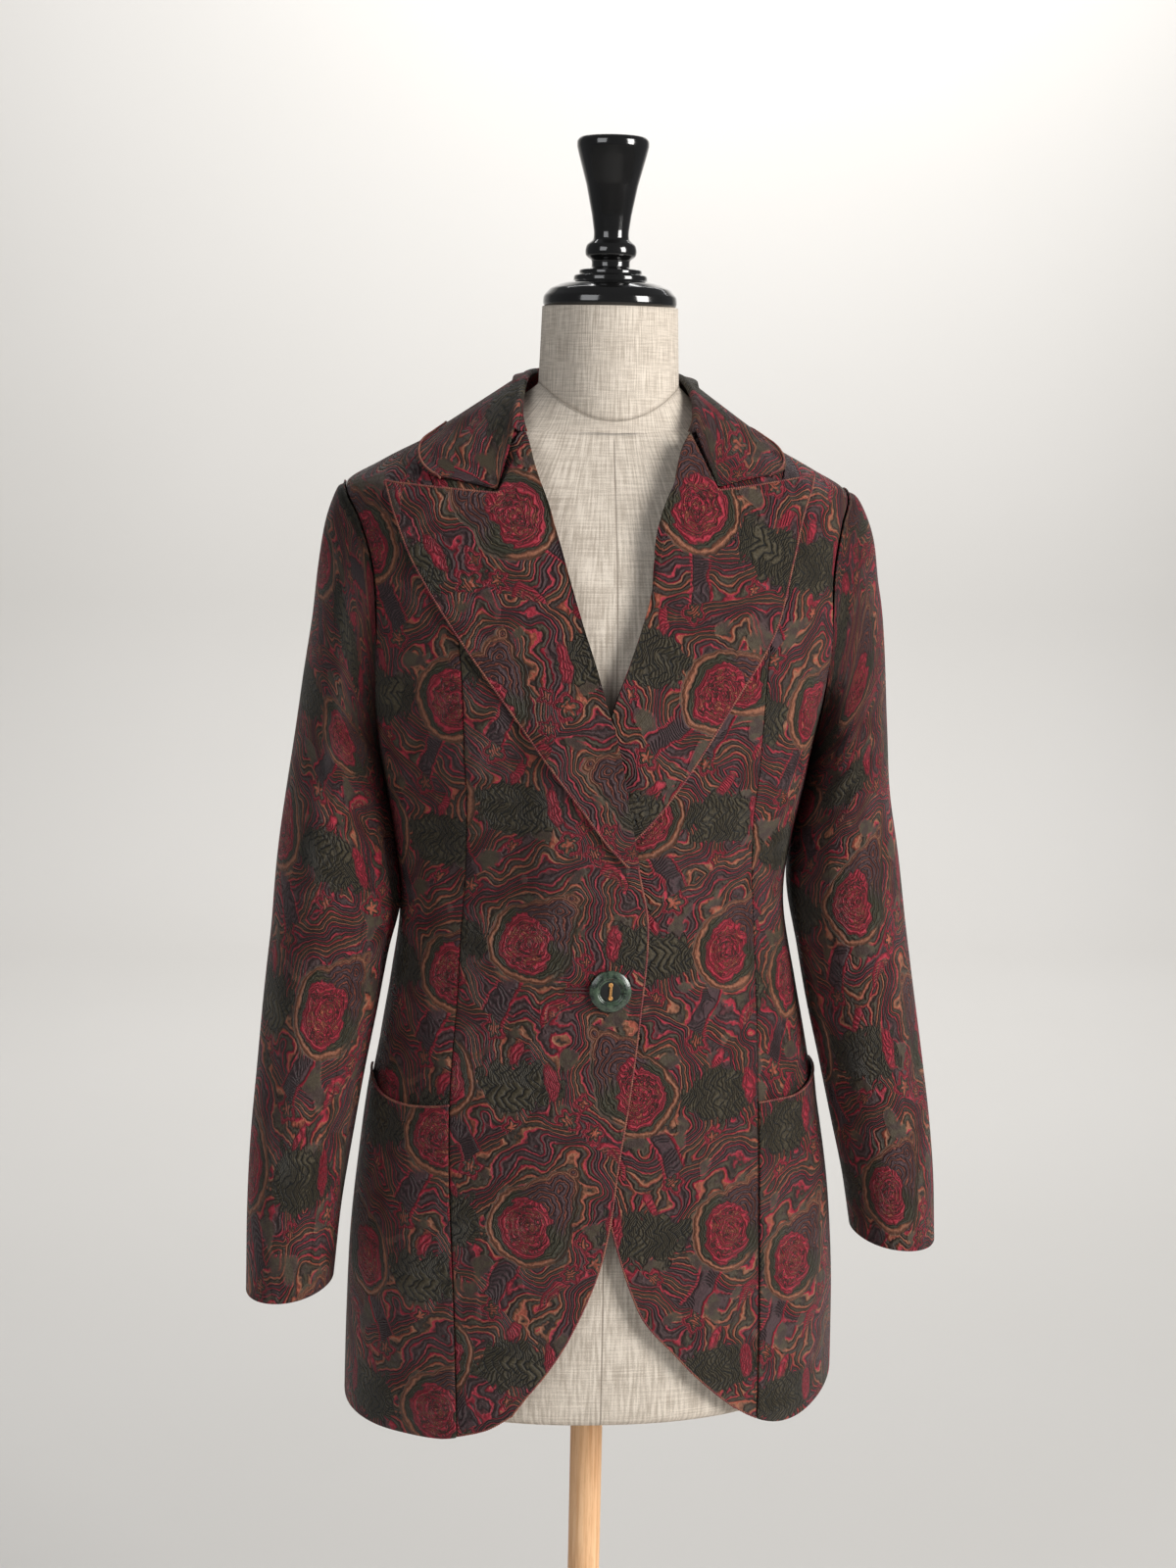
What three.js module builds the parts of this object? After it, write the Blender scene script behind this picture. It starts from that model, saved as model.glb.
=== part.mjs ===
// A brocade blazer on a limbless dress form. Millimetres, +Z up, the front faces -Y,
// the wearer's left is +X, and the origin is the centre of the base's underside.
import * as THREE from 'three';

// Driving sizes
const CLOTH = 2.0;
const SEAM = 0.3;
const LAYER = 0.5;
const HEM_SIDE = { right: 619, left: 646 };
const HEM_BACK = 634;
const UNDERARM = 1143;
const SHOULDER_POINT = 1333;
const SHOULDER_PRINCESS = 1362;
const SHOULDER_NECK = 1390;
const NECK_BACK = 1387;
const ARMHOLE_DEPTH = 72;
const BREAK_HEIGHT = 1072;
const GORGE = { right: 1372, left: 1374 };
const BUTTON_HEIGHT = 975;
const BUTTON_RADIUS = 15.3;
const BUTTON_THICKNESS = 4.6;
const FORM_BOTTOM = 637;
const NECK_TOP = 1464;
const NECK_RADIUS = 52;
const NECK_CENTRE = -3;
const POLE_RADIUS = 12.8;
const BASE_RADIUS = 205;
const BASE_HEIGHT = 24;

// Tables: each row is a height, and its columns are named in the first argument
const table = (names, rows) => {
  const keys = names.split(' ');
  const columns = {};
  keys.forEach((key, column) => {
    columns[key] = rows.map((row) => row[column]);
  });
  return { keys, columns, size: rows.length };
};

// The jacket's inner surface: half width, depth to the front and to the back, squareness,
// and how far its middle lies towards the wearer's left
const BODY = table('z half front back square shift', [
  [560, 191, 130, 120, 2.2, 0],
  [620, 190, 131, 121, 2.2, 0],
  [700, 188, 130, 120, 2.2, 0],
  [760, 184, 127, 118, 2.2, -1],
  [830, 176, 121, 113, 2.2, -1],
  [900, 165, 115, 105, 2.2, -1],
  [960, 154, 111, 96, 2.2, -2],
  [1020, 143, 110, 88, 2.25, -4],
  [1080, 148, 119, 88, 2.35, -4],
  [1140, 160, 130, 92, 2.5, -4],
  [1190, 171, 132, 98, 2.65, -4],
  [1235, 178, 126, 103, 2.75, -4],
  [1280, 183, 112, 102, 2.7, -5],
  [1310, 186, 98, 98, 2.6, -6],
  [1333, 184, 84, 92, 2.45, -7],
  [1347, 161, 76, 87, 2.3, -7],
  [1362, 133, 67, 80, 2.2, -7],
  [1377, 103, 60, 74, 2.1, -6],
  [1390, 80, 54, 69, 2.0, -4],
  [1405, 64, 50, 64, 2.0, -2],
]);

// How far the form stands inside the jacket, less along the shoulders, where it carries it
const EASE = table('z inset', [
  [620, 9],
  [830, 8],
  [1020, 13],
  [1140, 7],
  [1235, 4],
  [1310, 5.6],
  [1410, 5.6],
]);

// Front edge of each front: from the curved cutaway up the roll line to the neck
const FRONT_EDGE = {
  right: table('z x', [
    [652, -66],
    [668, -55],
    [688, -40],
    [715, -24],
    [757, -6],
    [798, 4],
    [845, 10],
    [892, 17],
    [955, 24],
    [1019, 28],
    [1068, 19],
    [1110, 11],
    [1159, 1],
    [1187, -8],
    [1214, -16],
    [1241, -25],
    [1267, -33],
    [1294, -41],
    [1320, -49],
    [1347, -57],
    [1372, -63],
    [1382, -71],
    [1390, -84],
  ]),
  left: table('z x', [
    [652, 101],
    [668, 83],
    [685, 66],
    [702, 51],
    [718, 36],
    [733, 26],
    [764, 14],
    [801, 3],
    [840, -9],
    [880, -18],
    [930, -23],
    [1000, -24],
    [1068, -20],
    [1110, -17],
    [1150, -12],
    [1187, -2],
    [1214, 8],
    [1241, 17],
    [1268, 25],
    [1295, 32],
    [1335, 41],
    [1362, 48],
    [1374, 55],
    [1382, 65],
    [1390, 76],
  ]),
};

// Seam between each front and its side front
const PRINCESS = {
  right: table('z x', [
    [600, -105],
    [727, -109],
    [823, -113],
    [885, -113],
    [981, -107],
    [1081, -103],
    [1169, -106],
    [1250, -113],
    [1320, -125],
    [1350, -135],
    [1362, -140],
  ]),
  left: table('z x', [
    [600, 119],
    [689, 119],
    [788, 117],
    [887, 115],
    [1001, 110],
    [1081, 104],
    [1169, 105],
    [1250, 112],
    [1320, 119],
    [1350, 124],
    [1362, 126],
  ]),
};

// Hem height along each front and side front
const HEM = {
  right: table('x z', [
    [-195, HEM_SIDE.right],
    [-152, 624],
    [-118, 627],
    [-104, 631],
    [-84, 639],
    [-66, 652],
  ]),
  left: table('x z', [
    [101, 652],
    [119, 639],
    [136, 632],
    [155, 631],
    [176, 637],
    [195, HEM_SIDE.left],
  ]),
};

// Mouth of each pocket, along the side front
const POCKET_MOUTH = {
  right: table('x z', [
    [-172, 889],
    [-160, 880],
    [-145, 878],
    [-128, 881],
    [-112, 885],
  ]),
  left: table('x z', [
    [113, 885],
    [128, 886],
    [145, 885],
    [160, 888],
    [172, 896],
  ]),
};

// Outer edge of each lapel, from the break to the peak
const LAPEL_EDGE = {
  right: table('z x', [
    [1072, 10],
    [1090, -6],
    [1115, -24],
    [1178, -72],
    [1240, -117],
    [1281, -142],
    [1310, -154],
    [1334, -162],
  ]),
  left: table('z x', [
    [1072, -12],
    [1090, 16],
    [1128, 46],
    [1190, 84],
    [1236, 112],
    [1287, 127],
    [1318, 136],
    [1342, 148],
  ]),
};
const NOTCH = { right: { x: -84, z: 1330 }, left: { x: 73, z: 1334 } };
const COLLAR_POINT = { right: { x: -126, z: 1338 }, left: { x: 114, z: 1343 } };

// Sleeve rings: the point by the body, the point away from it, the middle and the half depth
const SLEEVE = {
  right: table('row innerX innerZ outerX outerZ middle depth', [
    [0, 168.0, 1143, 193, 1335, -2, 72],
    [1, 168.4, 1141, 199, 1327, -2, 72],
    [2, 168.0, 1138, 206.5, 1306, -3, 71],
    [3, 167.0, 1133, 212.5, 1272, -4, 70],
    [4, 165.6, 1125, 217, 1236, -5, 69],
    [5, 163.0, 1112, 223, 1196, -7, 67],
    [6, 159.6, 1092, 229, 1154, -9, 65],
    [7, 155.0, 1060, 236, 1108, -12, 63],
    [8, 151.8, 1022, 243, 1057, -15, 61],
    [9, 161.0, 983, 248, 1004, -19, 58],
    [10, 169.5, 936, 253, 952, -23, 56],
    [11, 179.0, 889, 258, 898, -28, 53],
    [12, 188.0, 837, 263, 843, -33, 50],
    [13, 196.5, 784, 266, 784, -37, 48],
    [14, 202.0, 731, 267, 721, -40, 46],
  ]),
  left: table('row innerX innerZ outerX outerZ middle depth', [
    [0, 160.0, 1143, 179, 1335, -2, 72],
    [1, 160.4, 1141, 188, 1327, -2, 72],
    [2, 160.0, 1138, 198, 1304, -3, 71],
    [3, 158.8, 1133, 204, 1270, -4, 70],
    [4, 157.2, 1125, 209.5, 1233, -5, 69],
    [5, 154.8, 1112, 213, 1193, -6, 67],
    [6, 151.6, 1092, 216, 1151, -8, 65],
    [7, 147.4, 1060, 220, 1107, -9, 63],
    [8, 147.4, 1026, 228, 1060, -11, 61],
    [9, 156.0, 984, 236, 1007, -14, 58],
    [10, 165.0, 938, 244, 954, -17, 56],
    [11, 176.0, 891, 252, 902, -21, 53],
    [12, 186.0, 847, 259, 854, -25, 50],
    [13, 196.0, 803, 264, 806, -28, 48],
    [14, 203.5, 761, 267, 756, -30, 46],
  ]),
};
const SLEEVE_SEAM = 118;

// Collar: the fold's line from the back of the neck to the gorge, and where the fall's edge
// lies, as turns round the body and heights
const COLLAR_FOLD = table('along x y z edgeTurn edgeZ', [
  [0, 0, 64, 1417, 180, 1360],
  [0.18, -24, 58, 1418, 152, 1362],
  [0.36, -44, 40, 1417, 120, 1367],
  [0.52, -54, 16, 1415, 90, 1372],
  [0.66, -58, -8, 1410, 76, 1367],
  [0.78, -61, -26, 1402, 70, 1359],
  [0.9, -63, -44, 1389, 66, 1348],
  [1, -63, -58, 1374.5, 63, 1338],
]);
const COLLAR_SHOULDER = 0.52;

// Colours and finishes
const FINISHES = {
  brocade: { color: 0x5d4439, roughness: 0.62, metalness: 0 },
  linen: { color: 0xcdbfae, roughness: 0.92, metalness: 0 },
  lacquer: { color: 0x0d0c0c, roughness: 0.22, metalness: 0 },
  wood: { color: 0xe3b98b, roughness: 0.5, metalness: 0 },
  horn: { color: 0x26332b, roughness: 0.3, metalness: 0 },
};

// Interpolation of a table by its first column, smooth through every row
function at(source, where) {
  const { keys, columns, size } = source;
  const along = columns[keys[0]];
  const rising = along[size - 1] > along[0];
  let row = 0;
  while (row < size - 2 && (rising ? where > along[row + 1] : where < along[row + 1])) row += 1;
  const span = along[row + 1] - along[row];
  const share = Math.min(1, Math.max(0, (where - along[row]) / span));
  const result = {};
  for (const key of keys.slice(1)) {
    const values = columns[key];
    const slope = (index) => {
      const before = Math.max(0, index - 1);
      const after = Math.min(size - 1, index + 1);
      return (values[after] - values[before]) / (along[after] - along[before]);
    };
    const square = share * share;
    const cube = square * share;
    result[key] = values[row] * (2 * cube - 3 * square + 1)
      + slope(row) * span * (cube - 2 * square + share)
      + values[row + 1] * (3 * square - 2 * cube)
      + slope(row + 1) * span * (cube - square);
  }
  return result;
}

const lerp = (from, to, share) => from + (to - from) * share;
const radians = (degrees) => (degrees * Math.PI) / 180;
const smooth = (low, high, value) => {
  const share = Math.min(1, Math.max(0, (value - low) / (high - low)));
  return share * share * (3 - 2 * share);
};

// The body surface: turn 0 is the centre front, +90 the wearer's left, 180 the centre back
function bodyPoint(turn, z, inset = 0) {
  const { half, front, back, square, shift } = at(BODY, z);
  const sine = Math.sin(radians(turn));
  const cosine = Math.cos(radians(turn));
  const reach = (Math.abs(sine) ** square + Math.abs(cosine) ** square) ** (-1 / square);
  const depth = cosine > 0 ? front : back;
  return new THREE.Vector3(
    shift + (half - inset) * sine * reach,
    -(depth - inset) * cosine * reach,
    z,
  );
}

function bodyNormal(turn, z) {
  const step = 0.5;
  const along = bodyPoint(turn + step, z).sub(bodyPoint(turn - step, z));
  const rise = bodyPoint(turn, z + step).sub(bodyPoint(turn, z - step));
  return along.cross(rise).normalize();
}

const onBody = ({ turn, z }, lift) => bodyPoint(turn, z).addScaledVector(bodyNormal(turn, z), lift);

// The turn at which the front of the body has a given x
function frontTurn(x, z) {
  const { half, square, shift } = at(BODY, z);
  const across = Math.min(1, Math.abs(x - shift) / half);
  const deep = (1 - across ** square) ** (1 / square);
  return (Math.atan2(across, deep) * 180 * Math.sign(x - shift)) / Math.PI;
}

// How far a point stands off the body surface, and the way out from it
function offBody(point) {
  const share = ({ x, y, z }) => {
    const { half, front, back, square, shift } = at(BODY, z);
    const wide = Math.abs(x - shift) / half;
    const deep = Math.abs(y) / (y < 0 ? front : back);
    return (wide ** square + deep ** square) ** (1 / square);
  };
  const step = 0.5;
  const slope = ['x', 'y', 'z'].map((axis) => {
    const high = point.clone();
    const low = point.clone();
    high[axis] += step;
    low[axis] -= step;
    return (share(high) - share(low)) / (2 * step);
  });
  const way = new THREE.Vector3(...slope);
  const steep = way.length();
  return { lift: (share(point) - 1) / steep, way: way.divideScalar(steep) };
}

function keepOff(point, lift) {
  for (let turn = 0; turn < 3; turn += 1) {
    const found = offBody(point);
    if (found.lift < lift) point.addScaledVector(found.way, lift - found.lift);
  }
  return point;
}

const frontSpot = (x, z) => ({ turn: frontTurn(x, z), z });
const SIGN = { right: -1, left: 1 };

// A closed wall between an inner and an outer grid of points; its columns run backwards on the
// wearer's left, so that the faces point out there too
function wall(columns, rows, innerAt, outerAt, backwards) {
  const points = [];
  const faces = [];
  const index = (layer, column, row) => (layer * (rows + 1) + row) * (columns + 1) + column;
  for (const pointAt of [innerAt, outerAt]) {
    for (let row = 0; row <= rows; row += 1) {
      for (let step = 0; step <= columns; step += 1) {
        const column = backwards ? columns - step : step;
        const point = pointAt(column / columns, row / rows, column, row);
        points.push(point.x, point.y, point.z);
      }
    }
  }
  const spot = (place) => new THREE.Vector3().fromArray(points, place * 3);
  const quad = (a, b, c, d) => faces.push(a, c, b, a, d, c);
  // Each cell is split along the diagonal that bulges out
  const bulges = (column, row) => {
    const [a, b, c, d] = [[0, 0], [1, 0], [1, 1], [0, 1]].map(([right, up]) => (
      spot(index(1, column + right, row + up))));
    const out = a.clone().sub(spot(index(0, column, row)));
    return a.add(c).sub(b).sub(d).dot(out) > 0;
  };
  for (let row = rows - 1; row >= 0; row -= 1) {
    for (let step = 0; step < columns; step += 1) {
      const column = backwards ? step : columns - 1 - step;
      const straight = bulges(column, row);
      for (const layer of [0, 1]) {
        const a = index(layer, column, row);
        const b = index(layer, column + 1, row);
        const c = index(layer, column + 1, row + 1);
        const d = index(layer, column, row + 1);
        if (straight && layer) quad(a, b, c, d);
        else if (straight) quad(c, b, a, d);
        else if (layer) quad(b, c, d, a);
        else quad(b, a, d, c);
      }
    }
  }
  for (let row = 0; row < rows; row += 1) {
    quad(index(1, 0, row), index(1, 0, row + 1), index(0, 0, row + 1), index(0, 0, row));
    quad(
      index(0, columns, row),
      index(0, columns, row + 1),
      index(1, columns, row + 1),
      index(1, columns, row),
    );
  }
  for (let column = 0; column < columns; column += 1) {
    quad(index(0, column, 0), index(0, column + 1, 0), index(1, column + 1, 0), index(1, column, 0));
    quad(
      index(1, column, rows),
      index(1, column + 1, rows),
      index(0, column + 1, rows),
      index(0, column, rows),
    );
  }
  const geometry = new THREE.BufferGeometry();
  geometry.setAttribute('position', new THREE.Float32BufferAttribute(points, 3));
  geometry.setIndex(faces);
  geometry.computeVertexNormals();
  return geometry;
}

// Panels: a patch between four border lines on the body, each a function of its share
function blend(borders, across, up) {
  const { start, end, bottom, top } = borders;
  const mix = (key) => {
    const sides = lerp(start(up)[key], end(up)[key], across);
    const ends = lerp(bottom(across)[key], top(across)[key], up);
    const low = lerp(start(0)[key], end(0)[key], across);
    const high = lerp(start(1)[key], end(1)[key], across);
    return sides + ends - lerp(low, high, up);
  };
  return { turn: mix('turn'), z: mix('z') };
}

// Every border is drawn in by half a seam's gap
function inward(borders, seamTurn, topTurn) {
  return (across, up) => {
    const spot = blend(borders, across, up);
    const side = across === 0 ? 1 : across === 1 ? -1 : 0;
    return { turn: spot.turn + side * seamTurn + (up === 1 ? topTurn(across) : 0), z: spot.z };
  };
}

// The wearer's right front laps over the left front, and over the left lapel near the break
function frontLift(side, spot) {
  if (side === 'left') return 0;
  const { x } = bodyPoint(spot.turn, spot.z);
  const overFront = smooth(-72, -38, x) * smooth(742, 790, spot.z) * (1 - smooth(1180, 1240, spot.z));
  const overLapel = smooth(1010, 1050, spot.z);
  return overFront * lerp(CLOTH + LAYER + 0.5, 2 * (CLOTH + LAYER) + 2.2, overLapel);
}

// Heights of the rows of a panel: even up the side seam, closer round the armhole
const SIDE_ROWS = 14;
const ARM_ROWS = 10;
const PANEL_ROWS = SIDE_ROWS + ARM_ROWS;
const armShare = SIDE_ROWS / PANEL_ROWS;

function sideLine(side, front) {
  const hem = HEM_SIDE[side];
  return (share) => {
    if (share <= armShare) {
      return { turn: SIGN[side] * 90, z: lerp(hem, UNDERARM, share / armShare) };
    }
    return armholeSpot(side, front, lerp(180, 0, (share - armShare) / (1 - armShare)));
  };
}

// The armhole, by the angle round it from the shoulder point
function armholeSpot(side, front, angle) {
  const middle = (UNDERARM + SHOULDER_POINT) / 2;
  const z = middle + ((SHOULDER_POINT - UNDERARM) / 2) * Math.cos(radians(angle));
  const y = ARMHOLE_DEPTH * Math.sin(radians(angle));
  const { front: forward, back, square } = at(BODY, z);
  const deep = Math.min(1, y / (front ? forward : back));
  const across = (1 - deep ** square) ** (1 / square);
  const turn = (Math.atan2(across, deep) * 180) / Math.PI;
  return { turn: SIGN[side] * (front ? turn : 180 - turn), z };
}

function seamHeight(low, high, share) {
  const bend = lerp(low, UNDERARM - 4, share / armShare);
  if (share <= armShare) return bend;
  const up = (share - armShare) / (1 - armShare);
  return lerp(UNDERARM - 4, high, 1 - (1 - up) ** 1.9);
}

const SEAM_TURN = 0.1;
const RIDGE_TURN = 0.3;

function frontPanel(side) {
  const edge = FRONT_EDGE[side];
  const high = SHOULDER_PRINCESS + SEAM;
  const low = edge.columns.z[0];
  const princessLow = at(HEM[side], at(PRINCESS[side], 635).x).z;
  const borders = {
    start: (share) => {
      const z = seamHeight(low, SHOULDER_NECK, share);
      return share === 1 ? { turn: SIGN[side] * 90, z } : frontSpot(at(edge, z).x, z);
    },
    end: (share) => {
      const z = seamHeight(princessLow, high, share);
      return share === 1 ? { turn: SIGN[side] * 90, z } : frontSpot(at(PRINCESS[side], z).x, z);
    },
    bottom: (share) => {
      const x = lerp(at(edge, low).x, at(PRINCESS[side], princessLow).x, share);
      return frontSpot(x, at(HEM[side], x).z);
    },
    top: (share) => ({ turn: SIGN[side] * 90, z: lerp(SHOULDER_NECK, high, share) }),
  };
  const spotAt = inward(borders, SIGN[side] * SEAM_TURN, () => -SIGN[side] * RIDGE_TURN);
  return wall(
    8,
    PANEL_ROWS,
    (across, up) => {
      const spot = spotAt(across, up);
      return onBody(spot, frontLift(side, spot));
    },
    (across, up) => {
      const spot = spotAt(across, up);
      return onBody(spot, frontLift(side, spot) + CLOTH);
    },
    side === 'left',
  );
}

function sideFrontSpots(side) {
  const low = at(HEM[side], at(PRINCESS[side], 635).x).z;
  const seam = (share) => {
    const z = seamHeight(low, SHOULDER_PRINCESS, share);
    return share === 1 ? { turn: SIGN[side] * 90, z } : frontSpot(at(PRINCESS[side], z).x, z);
  };
  const borders = {
    start: seam,
    end: sideLine(side, true),
    bottom: (share) => {
      const turn = lerp(seam(0).turn, SIGN[side] * 90, share);
      const x = bodyPoint(turn, HEM_SIDE[side]).x;
      return { turn, z: at(HEM[side], share === 1 ? SIGN[side] * 195 : x).z };
    },
    top: (share) => ({ turn: SIGN[side] * 90, z: lerp(SHOULDER_PRINCESS, SHOULDER_POINT, share) }),
  };
  return inward(borders, SIGN[side] * SEAM_TURN, () => -SIGN[side] * RIDGE_TURN);
}

function sideFrontPanel(side) {
  const spotAt = sideFrontSpots(side);
  return wall(
    8,
    PANEL_ROWS,
    (across, up) => onBody(spotAt(across, up), 0),
    (across, up) => onBody(spotAt(across, up), CLOTH),
    side === 'left',
  );
}

// The pocket lies on its side front, from the hem to its mouth, on the same points moved out
function pocketPanel(side) {
  const spotAt = sideFrontSpots(side);
  const rows = 7;
  const lowered = (across, row) => {
    const spot = spotAt(across, row / PANEL_ROWS);
    if (row < rows) return spot;
    const mouth = at(POCKET_MOUTH[side], bodyPoint(spot.turn, spot.z).x).z;
    const before = spotAt(across, (rows - 1) / PANEL_ROWS);
    const share = (mouth - before.z) / (spot.z - before.z);
    return { turn: lerp(before.turn, spot.turn, share), z: mouth };
  };
  const rise = CLOTH + LAYER;
  return wall(
    8,
    rows,
    (across, up, column, row) => onBody(lowered(across, row), rise),
    (across, up, column, row) => onBody(lowered(across, row), rise + 1.2),
    side === 'left',
  );
}

function backPanel(side) {
  const borders = {
    start: sideLine(side, false),
    end: (share) => ({ turn: SIGN[side] * 180, z: seamHeight(HEM_BACK, NECK_BACK, share) }),
    bottom: (share) => ({
      turn: SIGN[side] * lerp(90, 180, share),
      z: lerp(HEM_SIDE[side], HEM_BACK, smooth(0, 0.6, share)),
    }),
    top: (share) => {
      if (share <= 0.5) {
        return { turn: SIGN[side] * 90, z: lerp(SHOULDER_POINT, SHOULDER_NECK, share * 2) };
      }
      const round = share * 2 - 1;
      return { turn: SIGN[side] * lerp(90, 180, round), z: lerp(SHOULDER_NECK, NECK_BACK, round) };
    },
  };
  const ridge = (share) => (share <= 0.5 ? SIGN[side] * RIDGE_TURN : 0);
  const spotAt = inward(borders, SIGN[side] * SEAM_TURN, ridge);
  return wall(
    12,
    PANEL_ROWS,
    (across, up) => onBody(spotAt(across, up), 0),
    (across, up) => onBody(spotAt(across, up), CLOTH),
    side === 'left',
  );
}

// The lapel is the front turned back on itself, from the roll line to the peak
function lapelPanel(side) {
  const edge = FRONT_EDGE[side];
  const outline = LAPEL_EDGE[side];
  const peak = outline.size - 1;
  const peakSpot = { x: outline.columns.x[peak], z: outline.columns.z[peak] };
  const gorge = { x: at(edge, GORGE[side] - 3).x, z: GORGE[side] - 3 };
  const notch = { x: NOTCH[side].x, z: NOTCH[side].z - 2.5 };
  const borders = {
    start: (share) => {
      const z = lerp(BREAK_HEIGHT, gorge.z, share);
      return frontSpot(at(edge, z).x, z);
    },
    end: (share) => {
      const z = lerp(BREAK_HEIGHT, peakSpot.z, share);
      return frontSpot(at(outline, z).x, z);
    },
    bottom: (share) => frontSpot(
      lerp(at(edge, BREAK_HEIGHT).x, at(outline, BREAK_HEIGHT).x, share),
      BREAK_HEIGHT,
    ),
    top: (share) => {
      const bend = 0.375;
      const [from, to, part] = share < bend
        ? [gorge, notch, share / bend]
        : [notch, peakSpot, (share - bend) / (1 - bend)];
      return frontSpot(lerp(from.x, to.x, part), lerp(from.z, to.z, part));
    },
  };
  const rise = (spot, across) => {
    const seat = frontLift(side, spot) + CLOTH + LAYER + 0.4 + 1.2 * smooth(1250, 1325, spot.z);
    return seat + 2.6 * (1 - across) ** 2 * smooth(1165, 1225, spot.z);
  };
  const spotAt = (across, up) => blend(borders, across, up);
  return wall(
    8,
    18,
    (across, up) => {
      const spot = spotAt(across, up);
      return onBody(spot, rise(spot, across));
    },
    (across, up) => {
      const spot = spotAt(across, up);
      return onBody(spot, rise(spot, across) + CLOTH);
    },
    side === 'left',
  );
}

// Normals of a grid of points, for walls that don't lie on the body
function thicken(grid, thickness, backwards, normals) {
  const rows = grid.length - 1;
  const columns = grid[0].length - 1;
  const normalAt = (column, row) => {
    if (normals) return normals[row][column];
    const left = grid[row][Math.max(0, column - 1)];
    const right = grid[row][Math.min(columns, column + 1)];
    const below = grid[Math.max(0, row - 1)][column];
    const above = grid[Math.min(rows, row + 1)][column];
    const normal = right.clone().sub(left).cross(above.clone().sub(below)).normalize();
    return backwards ? normal : normal.negate();
  };
  const moved = (share) => (across, up, column, row) => grid[row][column]
    .clone()
    .addScaledVector(normalAt(column, row), share * thickness);
  return wall(columns, rows, moved(-0.5), moved(0.5), backwards);
}

// The middle of the sleeve's wall, by the angle round it and its share from armhole to cuff
const SLEEVE_ROWS = 22;
const HEAD_ROWS = 5;

function sleevePoint(side, around, share) {
  const sign = SIGN[side];
  const angle = around > 180 ? around - 360 : around;
  const row = share * (SLEEVE[side].size - 1);
  const ring = at(SLEEVE[side], row);
  const inner = new THREE.Vector3(sign * ring.innerX, ring.middle, ring.innerZ);
  const outer = new THREE.Vector3(sign * ring.outerX, ring.middle, ring.outerZ);
  const point = inner.clone().lerp(outer, 0.5 + 0.5 * Math.cos(radians(angle)));
  point.y -= ring.depth * Math.sin(radians(angle));
  const hold = 1 - smooth(0, HEAD_ROWS, row);
  if (hold === 0) return point;
  const first = at(SLEEVE[side], 0);
  const flat = new THREE.Vector3(
    sign * lerp(first.innerX, first.outerX, 0.5 + 0.5 * Math.cos(radians(angle))),
    first.middle - first.depth * Math.sin(radians(angle)),
    lerp(first.innerZ, first.outerZ, 0.5 + 0.5 * Math.cos(radians(angle))),
  );
  const front = Math.sin(radians(angle)) >= 0;
  const seat = onBody(armholeSpot(side, front, Math.abs(angle)), CLOTH + 1.5);
  return point.addScaledVector(seat.sub(flat), hold);
}

function sleeveNormal(side, angle, share) {
  const low = Math.max(0, share - 0.012);
  const high = Math.min(1, share + 0.012);
  const round = sleevePoint(side, angle + 3, share).sub(sleevePoint(side, angle - 3, share));
  const down = sleevePoint(side, angle, high).sub(sleevePoint(side, angle, low));
  const normal = round.cross(down).normalize();
  return side === 'left' ? normal.negate() : normal;
}

// The upper sleeve goes round the outside, and the under sleeve closes it by the body
function sleevePanel(side, upper) {
  const columns = upper ? 14 : 8;
  const gap = 0.25;
  const from = upper ? -SLEEVE_SEAM + gap : SLEEVE_SEAM + gap;
  const to = upper ? SLEEVE_SEAM - gap : 360 - SLEEVE_SEAM - gap;
  const grid = [];
  const normals = [];
  for (let row = 0; row <= SLEEVE_ROWS; row += 1) {
    const angles = Array.from({ length: columns + 1 }, (_, column) => lerp(from, to, column / columns));
    grid.push(angles.map((angle) => sleevePoint(side, angle, row / SLEEVE_ROWS)));
    normals.push(angles.map((angle) => sleeveNormal(side, angle, row / SLEEVE_ROWS)));
  }
  return thicken(grid, CLOTH, side === 'right', normals);
}

// The collar: a stand round the neck, folded over into the fall, with an end at each gorge
const COLLAR_STEPS = 13;
const COLLAR_LIFT = CLOTH + 2.4;

function necklineSpot(side, along) {
  if (along <= COLLAR_SHOULDER) {
    const round = along / COLLAR_SHOULDER;
    return { turn: SIGN[side] * lerp(180, 90, round), z: lerp(NECK_BACK, SHOULDER_NECK, round) };
  }
  const down = (along - COLLAR_SHOULDER) / (1 - COLLAR_SHOULDER);
  const z = lerp(SHOULDER_NECK, GORGE[side], down);
  return frontSpot(at(FRONT_EDGE[side], z).x, z);
}

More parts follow.
